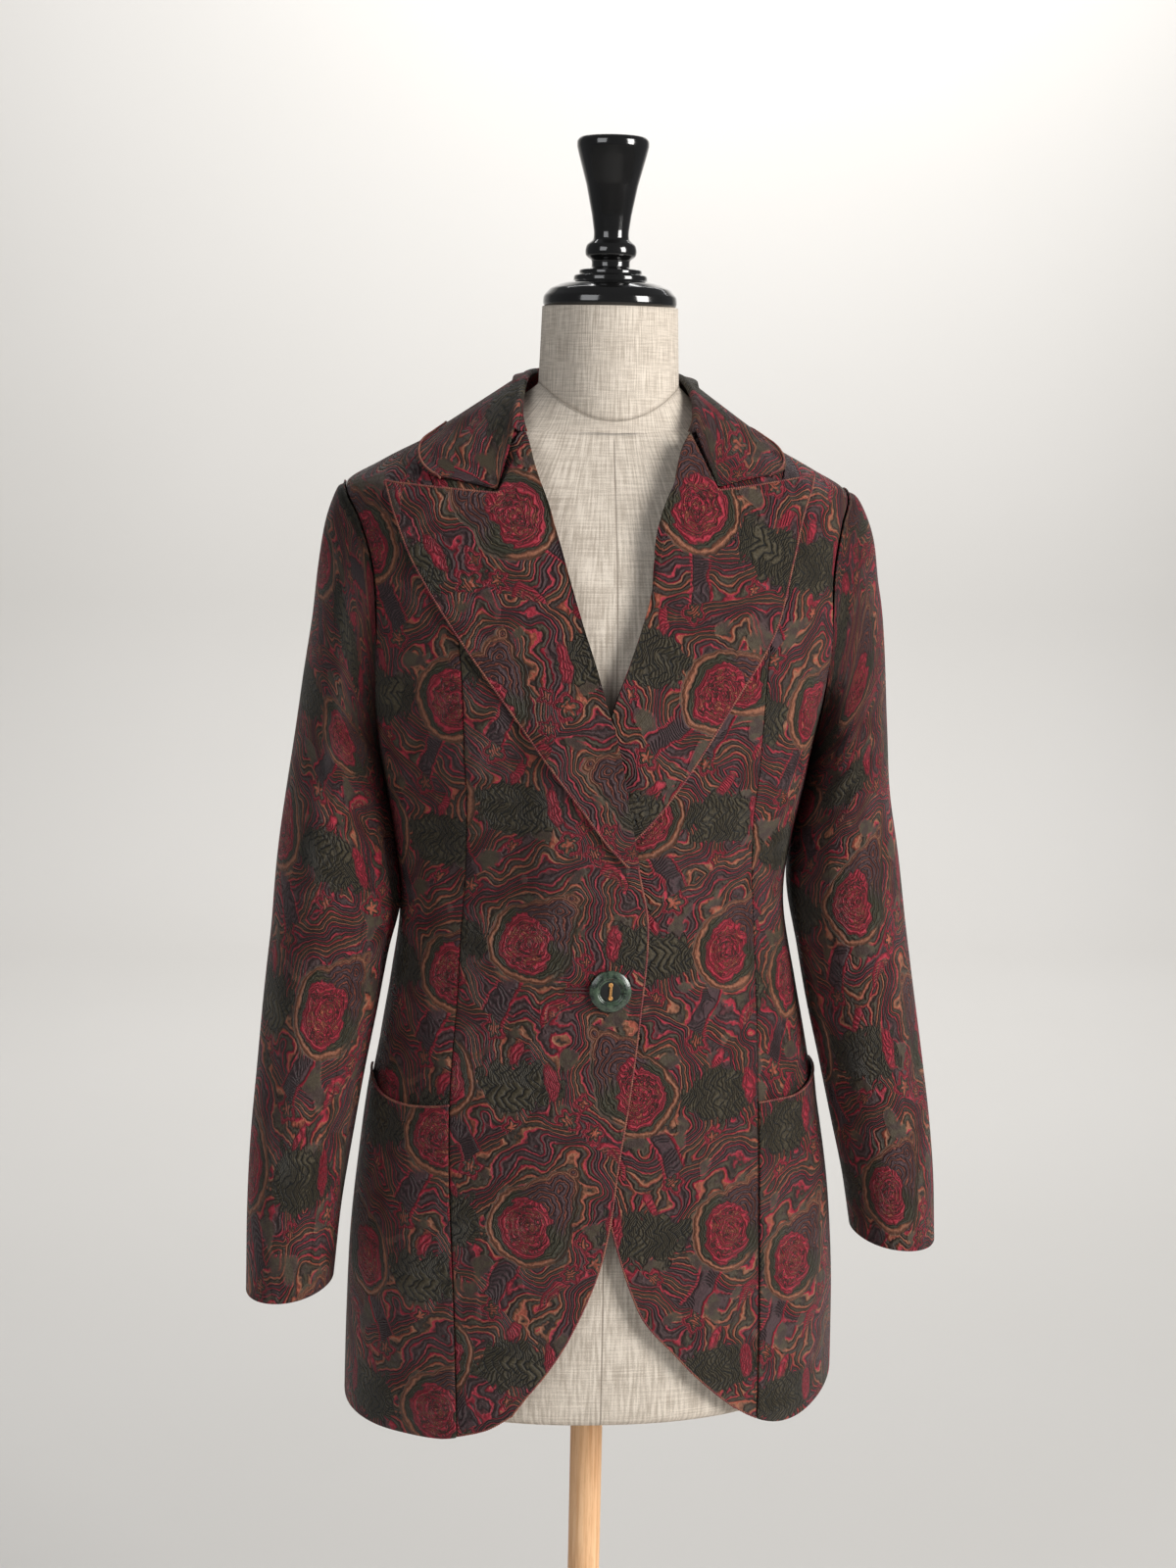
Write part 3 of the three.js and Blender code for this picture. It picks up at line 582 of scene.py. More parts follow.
def armhole_spot(side, front, angle):
    middle = (UNDERARM + SHOULDER_POINT) / 2
    z = middle + (SHOULDER_POINT - UNDERARM) / 2 * np.cos(np.radians(angle))
    y = ARMHOLE_DEPTH * np.sin(np.radians(angle))
    ring = at(BODY, z)
    depth = np.where(front, ring["front"], ring["back"])
    deep = np.minimum(1, y / depth)
    across = (1 - deep ** ring["square"]) ** (1 / ring["square"])
    turn = np.degrees(np.arctan2(across, deep))
    return SIGN[side] * np.where(front, turn, 180 - turn), z


def side_line(side, front):
    def border(share):
        low = lerp(HEM_SIDE[side], UNDERARM, share / ARM_SHARE)
        angle = lerp(180, 0, np.clip((share - ARM_SHARE) / (1 - ARM_SHARE), 0, 1))
        turn, z = armhole_spot(side, front, angle)
        under = share <= ARM_SHARE
        return np.where(under, SIGN[side] * 90.0, turn), np.where(under, low, z)

    return border


def seam_height(low, high, share):
    up = np.clip((share - ARM_SHARE) / (1 - ARM_SHARE), 0, 1)
    return np.where(
        share <= ARM_SHARE,
        lerp(low, UNDERARM - 4, share / ARM_SHARE),
        lerp(UNDERARM - 4, high, 1 - (1 - up) ** 1.9),
    )


def seam_spot(side, line, low, high):
    """A seam that follows a table of x by z, and ends on the shoulder's ridge."""

    def border(share):
        z = seam_height(low, high, share)
        turn, _ = front_spot(at(line, z)["x"], z)
        return np.where(share >= 1, SIGN[side] * 90.0, turn), z

    return border


def princess_low(side):
    return float(at(HEM[side], at(PRINCESS[side], 635)["x"])["z"])


def front_spots(side):
    edge, low, high = FRONT_EDGE[side], 652, SHOULDER_PRINCESS + SEAM

    def bottom(share):
        x = lerp(at(edge, low)["x"], at(PRINCESS[side], princess_low(side))["x"], share)
        return front_spot(x, at(HEM[side], x)["z"])

    borders = (
        seam_spot(side, edge, low, SHOULDER_NECK),
        seam_spot(side, PRINCESS[side], princess_low(side), high),
        bottom,
        lambda share: (SIGN[side] * 90.0 + 0 * share, lerp(SHOULDER_NECK, high, share)),
    )
    return inward(borders, SIGN[side] * SEAM_TURN, lambda share: -SIGN[side] * RIDGE_TURN)


def side_front_spots(side):
    seam = seam_spot(side, PRINCESS[side], princess_low(side), SHOULDER_PRINCESS)

    def bottom(share):
        turn = lerp(seam(np.zeros(1))[0], SIGN[side] * 90, share)
        x = body_point(turn, np.full(np.shape(turn), float(HEM_SIDE[side])))[..., 0]
        x = np.where(share >= 1, SIGN[side] * 195.0, x)
        return turn, at(HEM[side], x)["z"]

    borders = (
        seam,
        side_line(side, True),
        bottom,
        lambda share: (SIGN[side] * 90.0 + 0 * share, lerp(SHOULDER_PRINCESS, SHOULDER_POINT, share)),
    )
    return inward(borders, SIGN[side] * SEAM_TURN, lambda share: -SIGN[side] * RIDGE_TURN)


def back_spots(side):
    def top(share):
        near = share <= 0.5
        turn = np.where(near, SIGN[side] * 90.0, SIGN[side] * lerp(90, 180, share * 2 - 1))
        z = np.where(
            near,
            lerp(SHOULDER_POINT, SHOULDER_NECK, share * 2),
            lerp(SHOULDER_NECK, NECK_BACK, share * 2 - 1),
        )
        return turn, z

    borders = (
        side_line(side, False),
        lambda share: (SIGN[side] * 180.0 + 0 * share, seam_height(HEM_BACK, NECK_BACK, share)),
        lambda share: (
            SIGN[side] * lerp(90, 180, share),
            lerp(HEM_SIDE[side], HEM_BACK, smooth(0, 0.6, share)),
        ),
        top,
    )
    ridge = lambda share: np.where(share <= 0.5, SIGN[side] * RIDGE_TURN, 0.0)
    return inward(borders, SIGN[side] * SEAM_TURN, ridge)


def lapel_spots(side):
    edge, outline = FRONT_EDGE[side], LAPEL_EDGE[side]
    gorge = np.array([at(edge, GORGE[side] - 3)["x"], GORGE[side] - 3], float)
    notch = np.array([NOTCH[side][0], NOTCH[side][1] - 2.5], float)
    peak = np.array(PEAK[side], float)
    bend = 0.375

    def start(share):
        z = lerp(BREAK_HEIGHT, gorge[1], share)
        return front_spot(at(edge, z)["x"], z)

    def end(share):
        z = lerp(BREAK_HEIGHT, peak[1], share)
        return front_spot(at(outline, z)["x"], z)

    def bottom(share):
        x = lerp(at(edge, BREAK_HEIGHT)["x"], at(outline, BREAK_HEIGHT)["x"], share)
        return front_spot(x, BREAK_HEIGHT + 0 * share)

    def top(share):
        first = np.clip(share / bend, 0, 1)[..., None]
        second = np.clip((share - bend) / (1 - bend), 0, 1)[..., None]
        spot = np.where(share[..., None] < bend, lerp(gorge, notch, first), lerp(notch, peak, second))
        return front_spot(spot[..., 0], spot[..., 1])

    return lambda across, up: blend((start, end, bottom, top), across, up)


def lapel_rise(side, spot, across):
    z = spot[1]
    seat = front_lift(side, spot) + CLOTH + LAYER + 0.4 + 1.2 * smooth(1250, 1325, z)
    return seat + 2.6 * (1 - across) ** 2 * smooth(1165, 1225, z)


def sleeve_point(side, angle, share):
    sign = SIGN[side]
    angle = np.where(angle > 180, angle - 360, angle)
    row = share * (len(SLEEVE[side]["along"]) - 1)
    ring = at(SLEEVE[side], row)
    part = 0.5 + 0.5 * np.cos(np.radians(angle))
    point = np.stack([
        sign * lerp(ring["innerX"], ring["outerX"], part),
        ring["middle"] - ring["depth"] * np.sin(np.radians(angle)),
        lerp(ring["innerZ"], ring["outerZ"], part),
    ], axis=-1)
    first = at(SLEEVE[side], 0.0)
    flat = np.stack([
        sign * lerp(first["innerX"], first["outerX"], part),
        first["middle"] - first["depth"] * np.sin(np.radians(angle)),
        lerp(first["innerZ"], first["outerZ"], part),
    ], axis=-1)
    ahead = np.sin(np.radians(angle)) >= 0
    seat = on_body(armhole_spot(side, ahead, np.abs(angle)), np.full(np.shape(angle), CLOTH + 1.5))
    hold = (1 - smooth(0, 5, row))[..., None]
    return point + (seat - flat) * hold


def sleeve_normal(side, angle, share):
    low, high = np.maximum(0, share - 0.012), np.minimum(1, share + 0.012)
    round_ = sleeve_point(side, angle + 3, share) - sleeve_point(side, angle - 3, share)
    down = sleeve_point(side, angle, high) - sleeve_point(side, angle, low)
    normal = unit(np.cross(round_, down))
    return -normal if side == "left" else normal


def neckline_spot(side, along):
    if along <= COLLAR_SHOULDER:
        part = along / COLLAR_SHOULDER
        return SIGN[side] * lerp(180, 90, part), lerp(NECK_BACK, SHOULDER_NECK, part)
    z = lerp(SHOULDER_NECK, GORGE[side], (along - COLLAR_SHOULDER) / (1 - COLLAR_SHOULDER))
    return tuple(float(v) for v in front_spot(at(FRONT_EDGE[side], z)["x"], z))


def collar_section(side, along, falls):
    """The collar's middle line at one place along it, from its foot over the fold to the edge."""
    sign = SIGN[side]
    row = {key: float(value) for key, value in at(COLLAR_FOLD, along).items()}
    shift = float(at(BODY, min(1400, row["z"]))["shift"])
    roll = np.array([shift - sign * row["x"], row["y"], row["z"]])
    out = unit(np.array([roll[0] - shift, roll[1] - 5, 0.0]))
    gorge = float(smooth(0.72, 1, along))
    lift = np.float64(COLLAR_LIFT)
    rim = lerp(
        on_body((sign * row["edgeTurn"], row["edgeZ"]), lift),
        on_body(front_spot(*COLLAR_POINT[side]), lift),
        gorge,
    )
    foot = on_body(neckline_spot(side, along), np.float64(lerp(1.2, 2.2, gorge))) - out * 1.9
    foot = foot + np.array([0, 0, 1.2])
    crest = roll + out * 2.4 + np.array([0, 0, 2.4])
    outer = roll + out * 5
    stand = [lerp(foot, roll, share) for share in np.linspace(0, 1, 9)]
    share = np.linspace(0, 1, falls + 1)[1:, None]
    # The fold turns over in a small arc through its crest
    arc_ = [
        lerp(lerp(roll, crest, s), lerp(crest, outer, s), s) * 0.5
        + (roll * (1 - s) * (1 - 2 * s) + crest * 4 * s * (1 - s) + outer * s * (2 * s - 1)) * 0.5
        for s in (0.25, 0.5, 0.75, 1.0)
    ]
    arc_[-1] = outer
    notch = on_body(front_spot(NOTCH[side][0], NOTCH[side][1] + 1), lift)
    turned = 0.36
    bend = lerp(outer, rim, turned)
    weight = np.where(share < turned, share / turned, (1 - share) / (1 - turned))
    fall = lerp(outer, rim, share) + (notch - bend) * weight * gorge ** 2
    return np.concatenate([np.array(stand), np.array(arc_), keep_off(fall, lift)])


def form_point(turn, z):
    inset = at(EASE, z)["inset"]
    ridge = np.abs(np.sin(np.radians(turn))) ** 120 * smooth(1290, 1330, z)
    return body_point(turn, z, lerp(inset, RIDGE_INSET, ridge))


def neck_seam(turn, rise):
    ahead = np.maximum(0, np.cos(np.radians(turn)))
    return np.stack([
        NECK_RADIUS * np.sin(np.radians(turn)),
        NECK_CENTRE - (NECK_RADIUS + 1) * np.cos(np.radians(turn)),
        1408 - 26 * ahead ** 2 + rise,
    ], axis=-1)


# Meshes


def new_mesh(name, points, faces, uvs=None, finish=None):
    """A mesh object at the origin, its points in millimetres, with the cloth's own UV map."""
    data = bpy.data.meshes.new(name)
    data.from_pydata((np.asarray(points, float) * MM).tolist(), [], faces)
    if uvs is not None:
        layer = data.uv_layers.new(name="cut")
        index = np.zeros(len(data.loops), int)
        data.loops.foreach_get("vertex_index", index)
        layer.data.foreach_set("uv", (np.asarray(uvs, float) * MM)[index].ravel())
    data.polygons.foreach_set("use_smooth", np.ones(len(data.polygons), bool))
    data.update()
    thing = bpy.data.objects.new(name, data)
    bpy.context.scene.collection.objects.link(thing)
    if finish is not None:
        data.materials.append(finish)
    return thing


def grid_faces(rows, columns, first, flip):
    low = first + np.arange(rows)[:, None] * (columns + 1) + np.arange(columns)[None, :]
    a, b, c, d = low, low + 1, low + columns + 2, low + columns + 1
    corners = [a, b, c, d] if not flip else [a, d, c, b]
    return np.stack([x.ravel() for x in corners], axis=-1)


def shell(name, inner, outer, uvs, finish):
    """A closed sheet of cloth between two grids of points."""
    rows, columns = inner.shape[0] - 1, inner.shape[1] - 1
    count = (rows + 1) * (columns + 1)
    middle = (rows // 2, columns // 2)
    right = outer[middle[0], middle[1] + 1] - outer[middle]
    above = outer[middle[0] + 1, middle[1]] - outer[middle]
    flip = np.dot(np.cross(right, above), outer[middle] - inner[middle]) < 0
    faces = [grid_faces(rows, columns, 0, flip), grid_faces(rows, columns, count, not flip)]
    border = np.concatenate([
        np.arange(columns),
        np.arange(rows) * (columns + 1) + columns,
        (rows * (columns + 1) + columns) - np.arange(columns),
        (rows - np.arange(rows)) * (columns + 1),
    ])
    after = np.roll(border, -1)
    rim = np.stack([after, border, border + count, after + count], axis=-1)
    faces.append(rim[:, ::-1] if flip else rim)
    points = np.concatenate([outer.reshape(-1, 3), inner.reshape(-1, 3)])
    flat = np.concatenate([uvs.reshape(-1, 2)] * 2)
    return new_mesh(name, points, np.concatenate(faces).tolist(), flat, finish)


def ease_wobble(across, down, seed):
    """The slight unevenness of a hung cloth, well under a millimetre."""
    return 0.35 * np.sin(across / 23.0 + seed) * np.sin(down / 31.0 + 1.7 * seed) + 0.25 * np.sin(
        across / 11.0 + down / 17.0 + 2.3 * seed
    )


def body_panel(name, side, spots, width, length, folds, lift_of, thickness, run, finish, rolled=1.0):
    """A panel on the body: its points moved out by its folds, its edges turned in."""
    across, up = np.meshgrid(shares(width), shares(length))
    spot = spots(across, up)
    turn, z = spot
    x = body_point(turn, z)[..., 0]
    lift = lift_of(spot, across) + fold_lift(x, z, folds)
    rim = rim_drop(across, width, rolled) + rim_drop(up, length, rolled)
    edge = np.minimum(1, np.minimum(across, 1 - across) * width / 10)
    lift = lift + 0.5 * ease_wobble(x, z, len(name)) * edge
    outer = on_body(spot, lift + thickness - np.minimum(rim, thickness - 0.7))
    inner = on_body(spot, lift)
    u = arc(turn, z) + run[0]
    uvs = np.stack([u, z + run[1]], axis=-1)
    return shell(name, inner, outer, uvs, finish), outer


def rim_line(outer, which):
    """The points along one border of a grid."""
    return {
        "start": outer[:, 0],
        "end": outer[:, -1],
        "bottom": outer[0],
        "top": outer[-1],
    }[which]


# Finishes


class Weaver:
    """Writes a finish as sums of shader nodes."""

    def __init__(self, name):
        self.material = bpy.data.materials.new(name)
        self.material.use_nodes = True
        self.tree = self.material.node_tree
        self.nodes, self.links = self.tree.nodes, self.tree.links
        self.shader = self.nodes["Principled BSDF"]

    def feed(self, socket, value):
        if isinstance(value, bpy.types.NodeSocket):
            self.links.new(value, socket)
        elif isinstance(value, (tuple, list)) and len(value) == 3 and socket.type == "RGBA":
            socket.default_value = (*value, 1)
        else:
            socket.default_value = value

    def math(self, kind, *values, clamp=False):
        node = self.nodes.new("ShaderNodeMath")
        node.operation, node.use_clamp = kind, clamp
        for socket, value in zip(node.inputs, values):
            self.feed(socket, value)
        return node.outputs[0]

    def vector(self, kind, *values, out=0, scale=None):
        node = self.nodes.new("ShaderNodeVectorMath")
        node.operation = kind
        for socket, value in zip(node.inputs, values):
            self.feed(socket, value)
        if scale is not None:
            self.feed(node.inputs["Scale"], scale)
        return node.outputs[out]

    def add(self, a, b):
        return self.math("ADD", a, b)

    def sub(self, a, b):
        return self.math("SUBTRACT", a, b)

    def mul(self, a, b):
        return self.math("MULTIPLY", a, b)

    def least(self, *values):
        found = values[0]
        for value in values[1:]:
            found = self.math("MINIMUM", found, value)
        return found

    def most(self, *values):
        found = values[0]
        for value in values[1:]:
            found = self.math("MAXIMUM", found, value)
        return found

    def step(self, value, low, high):
        """0 at low and 1 at high, smooth between; low may be the larger."""
        node = self.nodes.new("ShaderNodeMapRange")
        node.interpolation_type = "SMOOTHSTEP"
        self.feed(node.inputs["Value"], value)
        if low < high:
            node.inputs["From Min"].default_value, node.inputs["From Max"].default_value = low, high
        else:
            node.inputs["From Min"].default_value, node.inputs["From Max"].default_value = high, low
            node.inputs["To Min"].default_value, node.inputs["To Max"].default_value = 1, 0
        return node.outputs["Result"]

    def line(self, value, width, soft=0.35):
        """1 within half a width of where the value is 0."""
        return self.step(self.math("ABSOLUTE", value), width / 2 + soft, width / 2 - soft)

    def mix(self, share, low, high):
        node = self.nodes.new("ShaderNodeMix")
        node.data_type = "RGBA"
        self.feed(node.inputs["Factor"], share)
        self.feed(node.inputs["A"], low)
        self.feed(node.inputs["B"], high)
        return node.outputs["Result"]

    def split(self, vector):
        node = self.nodes.new("ShaderNodeSeparateXYZ")
        self.feed(node.inputs[0], vector)
        return node.outputs[0], node.outputs[1], node.outputs[2]

    def join(self, x, y, z=0.0):
        node = self.nodes.new("ShaderNodeCombineXYZ")
        for socket, value in zip(node.inputs, (x, y, z)):
            self.feed(socket, value)
        return node.outputs[0]

    def noise(self, vector, scale, detail=2.0, rough=0.5, color=False):
        node = self.nodes.new("ShaderNodeTexNoise")
        self.feed(node.inputs["Vector"], vector)
        node.inputs["Scale"].default_value = scale
        node.inputs["Detail"].default_value = detail
        node.inputs["Roughness"].default_value = rough
        return node.outputs["Color" if color else "Fac"]

    def bump(self, height, strength, distance, under=None):
        node = self.nodes.new("ShaderNodeBump")
        self.feed(node.inputs["Height"], height)
        node.inputs["Strength"].default_value = strength
        node.inputs["Distance"].default_value = distance
        if under is not None:
            self.links.new(under, node.inputs["Normal"])
        return node.outputs["Normal"]

    def finish(self, color, rough, normal=None, **constants):
        self.feed(self.shader.inputs["Base Color"], color)
        self.feed(self.shader.inputs["Roughness"], rough)
        if normal is not None:
            self.links.new(normal, self.shader.inputs["Normal"])
        for key, value in constants.items():
            self.shader.inputs[key.replace("_", " ")].default_value = value
        return self.material

    def coords(self, which="Object"):
        return self.nodes.new("ShaderNodeTexCoord").outputs[which]


def paint(r, g, b):
    """A colour as seen on screen, 0 to 255, as the shader's linear one."""
    return tuple((c / 255 / 12.92) if c <= 10 else ((c / 255 + 0.055) / 1.055) ** 2.4 for c in (r, g, b))


CRIMSON = paint(172, 44, 62)
RUST = paint(168, 86, 66)
COPPER = paint(160, 104, 78)
OLIVE = paint(76, 66, 52)
AUBERGINE = paint(76, 54, 58)
PITCH = paint(64, 57, 43)

# The brocade's repeat, and the circles whose union is the comma round each roundel
REPEAT_WIDE = 149.0
REPEAT_HIGH = 209.0
COMMA = [
    [-1, -2, 30],
    [10, 12, 22],
    [21, 26, 12],
    [30, 37, 4],
]
# Small lobed flowers: place, radius and number of lobes
FLOWERS = [
    [48, -28, 8.5, 5],
    [-30, -84, 7.5, 6],
    [-8, -88, 7, 5],
    [38, -14, 5.5, 4],
    [-46, 38, 8, 5],
    [-60, -34, 6, 5],
    [30, -36, 6.5, 6],
    [52, -50, 7, 5],
]
# Solid leaves: place, turn in radians, half width and half length
LEAVES = [
    [60, 0, 0.15, 5.0, 14],
    [-62, 22, -0.5, 3.5, 9],
    [14, -86, 0.9, 3.2, 8],
]


def brocade(name):
    """Matelasse brocade: commas round crimson roundels in a half drop, in contour lines."""
    w = Weaver(name)
    uv = w.nodes.new("ShaderNodeUVMap")
    uv.uv_map = "cut"
    place = w.vector("SCALE", uv.outputs[0], scale=1000.0)
    drift = w.vector("SUBTRACT", w.noise(place, 0.045, 1.0, color=True), (0.5, 0.5, 0.5))
    wander = w.vector("SUBTRACT", w.noise(place, 0.19, 1.0, color=True), (0.5, 0.5, 0.5))
    drift = w.vector("ADD", w.vector("SCALE", drift, scale=9.0), w.vector("SCALE", wander, scale=3.4))
    p = w.vector("ADD", place, drift)
    half = (REPEAT_WIDE / 2, REPEAT_HIGH / 2, 500.0)
    back = tuple(-v for v in half)

    def near(vector, x, y):
        """The way from the nearest repeat of a place."""
        node = w.nodes.new("ShaderNodeVectorMath")
        node.operation = "WRAP"
        w.feed(node.inputs[0], w.vector("SUBTRACT", vector, (x, y, 0.0)))
        node.inputs[1].default_value, node.inputs[2].default_value = half, back
        return node.outputs[0]

    def length(vector):
        return w.vector("LENGTH", w.vector("MULTIPLY", vector, (1.0, 1.0, 0.0)), out=1)

    def comma(vector, mirror):
        return w.least(*(
            w.sub(length(near(vector, mirror * x, y)), r) for x, y, r in COMMA
        ))

    other = w.vector("SUBTRACT", p, (REPEAT_WIDE / 2, REPEAT_HIGH / 2, 0.0))
    edge_a, edge_b = comma(p, 1), comma(other, -1)
    edge = w.least(edge_a, edge_b)
    is_b = w.math("LESS_THAN", edge_b, edge_a)
    mixer = w.nodes.new("ShaderNodeMix")
    mixer.data_type = "VECTOR"
    w.feed(mixer.inputs["Factor"], is_b)
    w.links.new(near(p, 0, 0), mixer.inputs[4])
    w.links.new(w.vector("MULTIPLY", near(other, 0, 0), (-1.0, 1.0, 1.0)), mixer.inputs[5])
    q = mixer.outputs[1]
    x, y, _ = w.split(q)

    grain = w.noise(place, 0.62, 2.0, 0.6)
    blur = w.sub(grain, 0.5)
    broad = w.noise(place, 0.11, 2.0)

    def ellipse(cx, cy, rx, ry, turn=0.0):
        """Roughly how far outside an ellipse a place is."""
        away = w.vector("SUBTRACT", q, (cx, cy, 0.0))
        if turn:
            node = w.nodes.new("ShaderNodeVectorRotate")
            node.rotation_type = "Z_AXIS"
            w.feed(node.inputs["Vector"], away)
            node.inputs["Angle"].default_value = turn
            away = node.outputs[0]
        away = w.vector("MULTIPLY", away, (1 / rx, 1 / ry, 0.0))
        return w.mul(w.sub(w.vector("LENGTH", away, out=1), 1.0), min(rx, ry))

    # Ground of olive, with aubergine in broad drifts
    color = w.mix(w.step(broad, 0.42, 0.6), OLIVE, paint(66, 51, 46))
    groove = 6.0

    # Bundles of contour lines round the commas
    flow = w.noise(place, 0.026, 1.0)
    ring = w.add(w.mul(edge, 0.85), w.mul(w.sub(flow, 0.5), 52.0))
    pitch = 4.5
    wave = w.math("PINGPONG", ring, pitch / 2)
    band = w.math("FLOORED_MODULO", w.math("FLOOR", w.math("DIVIDE", ring, pitch)), 5.0)
    bare = w.noise(place, 0.034, 1.0)
    bundle = w.mul(w.step(edge, 1.0, 2.5), w.step(bare, 0.66, 0.60))
    thread = w.mul(w.step(w.add(wave, w.mul(blur, 0.8)), 1.15, 0.75), bundle)
    tint = w.mix(w.math("LESS_THAN", band, 0.5), w.mix(w.math("LESS_THAN", band, 1.5), CRIMSON, RUST), COPPER)
    color = w.mix(w.mul(w.mul(bundle, w.math("GREATER_THAN", band, 2.5)), 0.8), color, AUBERGINE)
    thread = w.mul(thread, w.sub(1.0, w.mul(w.line(w.sub(band, 3.0), 0.6, 0.1), 0.85)))
    color = w.mix(thread, color, tint)
    beside = w.mul(w.math("ABSOLUTE", w.sub(wave, 1.05)), 1.4)
    groove = w.least(groove, w.add(beside, w.mul(w.sub(1.0, bundle), 6.0)))

    # The dark flame between the roundels, stitched in a zigzag
    flames = []
    for spot, mirror in ((near(p, -10, -108), 1), (near(other, 10, -108), -1)):
        away = w.vector("MULTIPLY", spot, (1 / 31.0, 1 / 19.0, 0.0))
        flames.append(w.vector("LENGTH", away, out=1))
    ragged = w.noise(w.vector("MULTIPLY", place, (1.0, 0.55, 0.0)), 0.12, 2.0)
    flame = w.mul(w.sub(w.add(w.least(*flames), w.mul(w.sub(ragged, 0.5), 1.5)), 1.0), 19.0)
    in_flame = w.step(flame, 0.6, -0.6)
    color = w.mix(in_flame, color, w.mix(w.step(grain, 0.35, 0.7), PITCH, paint(82, 73, 54)))
    px, py, _ = w.split(p)
    zig = w.math("PINGPONG", w.add(px, w.mul(w.math("PINGPONG", py, 9.0), 0.9)), 6.2)
    squiggle = w.math("ABSOLUTE", w.sub(w.add(zig, w.mul(w.sub(ragged, 0.5), 7.0)), 3.1))
    color = w.mix(w.mul(in_flame, w.step(squiggle, 0.9, 0.2)), color, paint(30, 32, 31))
    groove = w.least(groove, w.add(w.mul(squiggle, 0.9), w.mul(w.sub(1.0, in_flame), 6.0)))
    groove = w.least(groove, w.math("ABSOLUTE", flame))

    # The long S below each roundel, between two crimson lines
    bend = w.mul(w.math("SINE", w.math("DIVIDE", w.add(y, 44.0), 15.0)), 9.0)
    tail = w.math("ABSOLUTE", w.add(w.sub(x, bend), 23.0))
    reach = w.mul(w.step(y, -92.0, -84.0), w.step(y, -26.0, -34.0))
    body_ = w.mul(w.step(tail, 7.4, 6.6), reach)
    color = w.mix(body_, color, AUBERGINE)
    stripes = w.math("PINGPONG", tail, 1.9)
    color = w.mix(w.mul(body_, w.mul(w.step(stripes, 0.5, 0.1), 0.5)), color, paint(40, 38, 36))
    rails = w.mul(w.line(w.sub(tail, 8.6), 2.2), reach)
    color = w.mix(rails, color, CRIMSON)
    groove = w.least(groove, w.add(w.math("ABSOLUTE", w.sub(tail, 7.2)), w.mul(w.sub(1.0, reach), 6.0)))

    # A rust kidney in a crimson rim
    kidney = w.add(ellipse(18, -58, 11, 16, 0.3), w.mul(blur, 1.5))
    color = w.mix(w.step(kidney, 0.4, -0.4), color, CRIMSON)
    stipple = w.step(w.noise(place, 0.9, 1.0), 0.42, 0.58)
    color = w.mix(w.step(kidney, -2.2, -3.0), color, w.mix(stipple, AUBERGINE, RUST))
    eye = ellipse(16, -56, 3.2, 6.5, 0.3)
    color = w.mix(w.line(eye, 1.6), color, CRIMSON)
    groove = w.least(groove, w.math("ABSOLUTE", kidney), w.math("ABSOLUTE", eye))

    # Lobed flowers with a rust eye
    for fx, fy, radius, lobes in FLOWERS:
        away = w.vector("SUBTRACT", q, (float(fx), float(fy), 0.0))
        ax, ay, _ = w.split(away)
        petal = w.math("COSINE", w.mul(w.math("ARCTAN2", ay, ax), float(lobes)))
        out = w.add(w.sub(length(away), radius), w.mul(petal, -0.2 * radius))
        out = w.add(out, w.mul(blur, 1.6))
        color = w.mix(w.step(out, 1.2, 0.4), color, CRIMSON)
        color = w.mix(w.step(out, -1.6, -2.4), color, OLIVE)
        color = w.mix(w.step(out, -radius * 0.56, -radius * 0.66), color, RUST)
        groove = w.least(groove, w.math("ABSOLUTE", out), w.math("ABSOLUTE", w.add(out, 2.2)))

    # Solid crimson leaves
    for lx, ly, turn, rx, ry in LEAVES:
        leaf = w.add(ellipse(lx, ly, rx, ry, turn), w.mul(blur, 1.8))
        color = w.mix(w.step(leaf, 0.4, -0.4), color, CRIMSON)
        groove = w.least(groove, w.math("ABSOLUTE", leaf))

    # Inside the comma: olive, an aubergine drift by the tip, and the copper ring
    in_comma = w.step(edge, 1.2, 0.4)
    color = w.mix(in_comma, color, COPPER)
    nap = w.step(w.noise(w.vector("MULTIPLY", place, (1.0, 0.4, 0.0)), 0.8, 1.0), 0.35, 0.6)
    color = w.mix(w.mul(in_comma, w.mul(nap, 0.45)), color, paint(120, 68, 52))
    gap = w.mul(w.step(x, 12.0, 20.0), w.step(w.sub(y, x), -6.0, -16.0))
    color = w.mix(w.mul(in_comma, gap), color, OLIVE)
    wide = w.add(1.9, w.mul(w.step(w.add(x, y), 10.0, -20.0), 1.9))
    ridge = w.step(w.add(w.add(edge, wide), w.mul(blur, 1.6)), 0.5, -0.5)
    color = w.mix(ridge, color, w.mix(w.step(w.add(x, y), 8.0, 22.0), paint(64, 61, 46), AUBERGINE))
    vein = w.math("PINGPONG", w.add(edge, w.mul(broad, 5.0)), 2.0)
    lit = w.mul(ridge, w.step(vein, 0.75, 0.35))
    color = w.mix(w.mul(lit, 0.75), color, w.mix(w.step(w.add(x, y), 16.0, 26.0), paint(96, 84, 58), RUST))
    groove = w.least(
        w.add(groove, w.mul(in_comma, 8.0)),
        w.math("ABSOLUTE", w.add(edge, wide)),
        w.math("ABSOLUTE", edge),
        w.add(w.mul(w.math("ABSOLUTE", w.sub(vein, 0.6)), 1.6), w.mul(w.sub(1.0, ridge), 6.0)),
    )

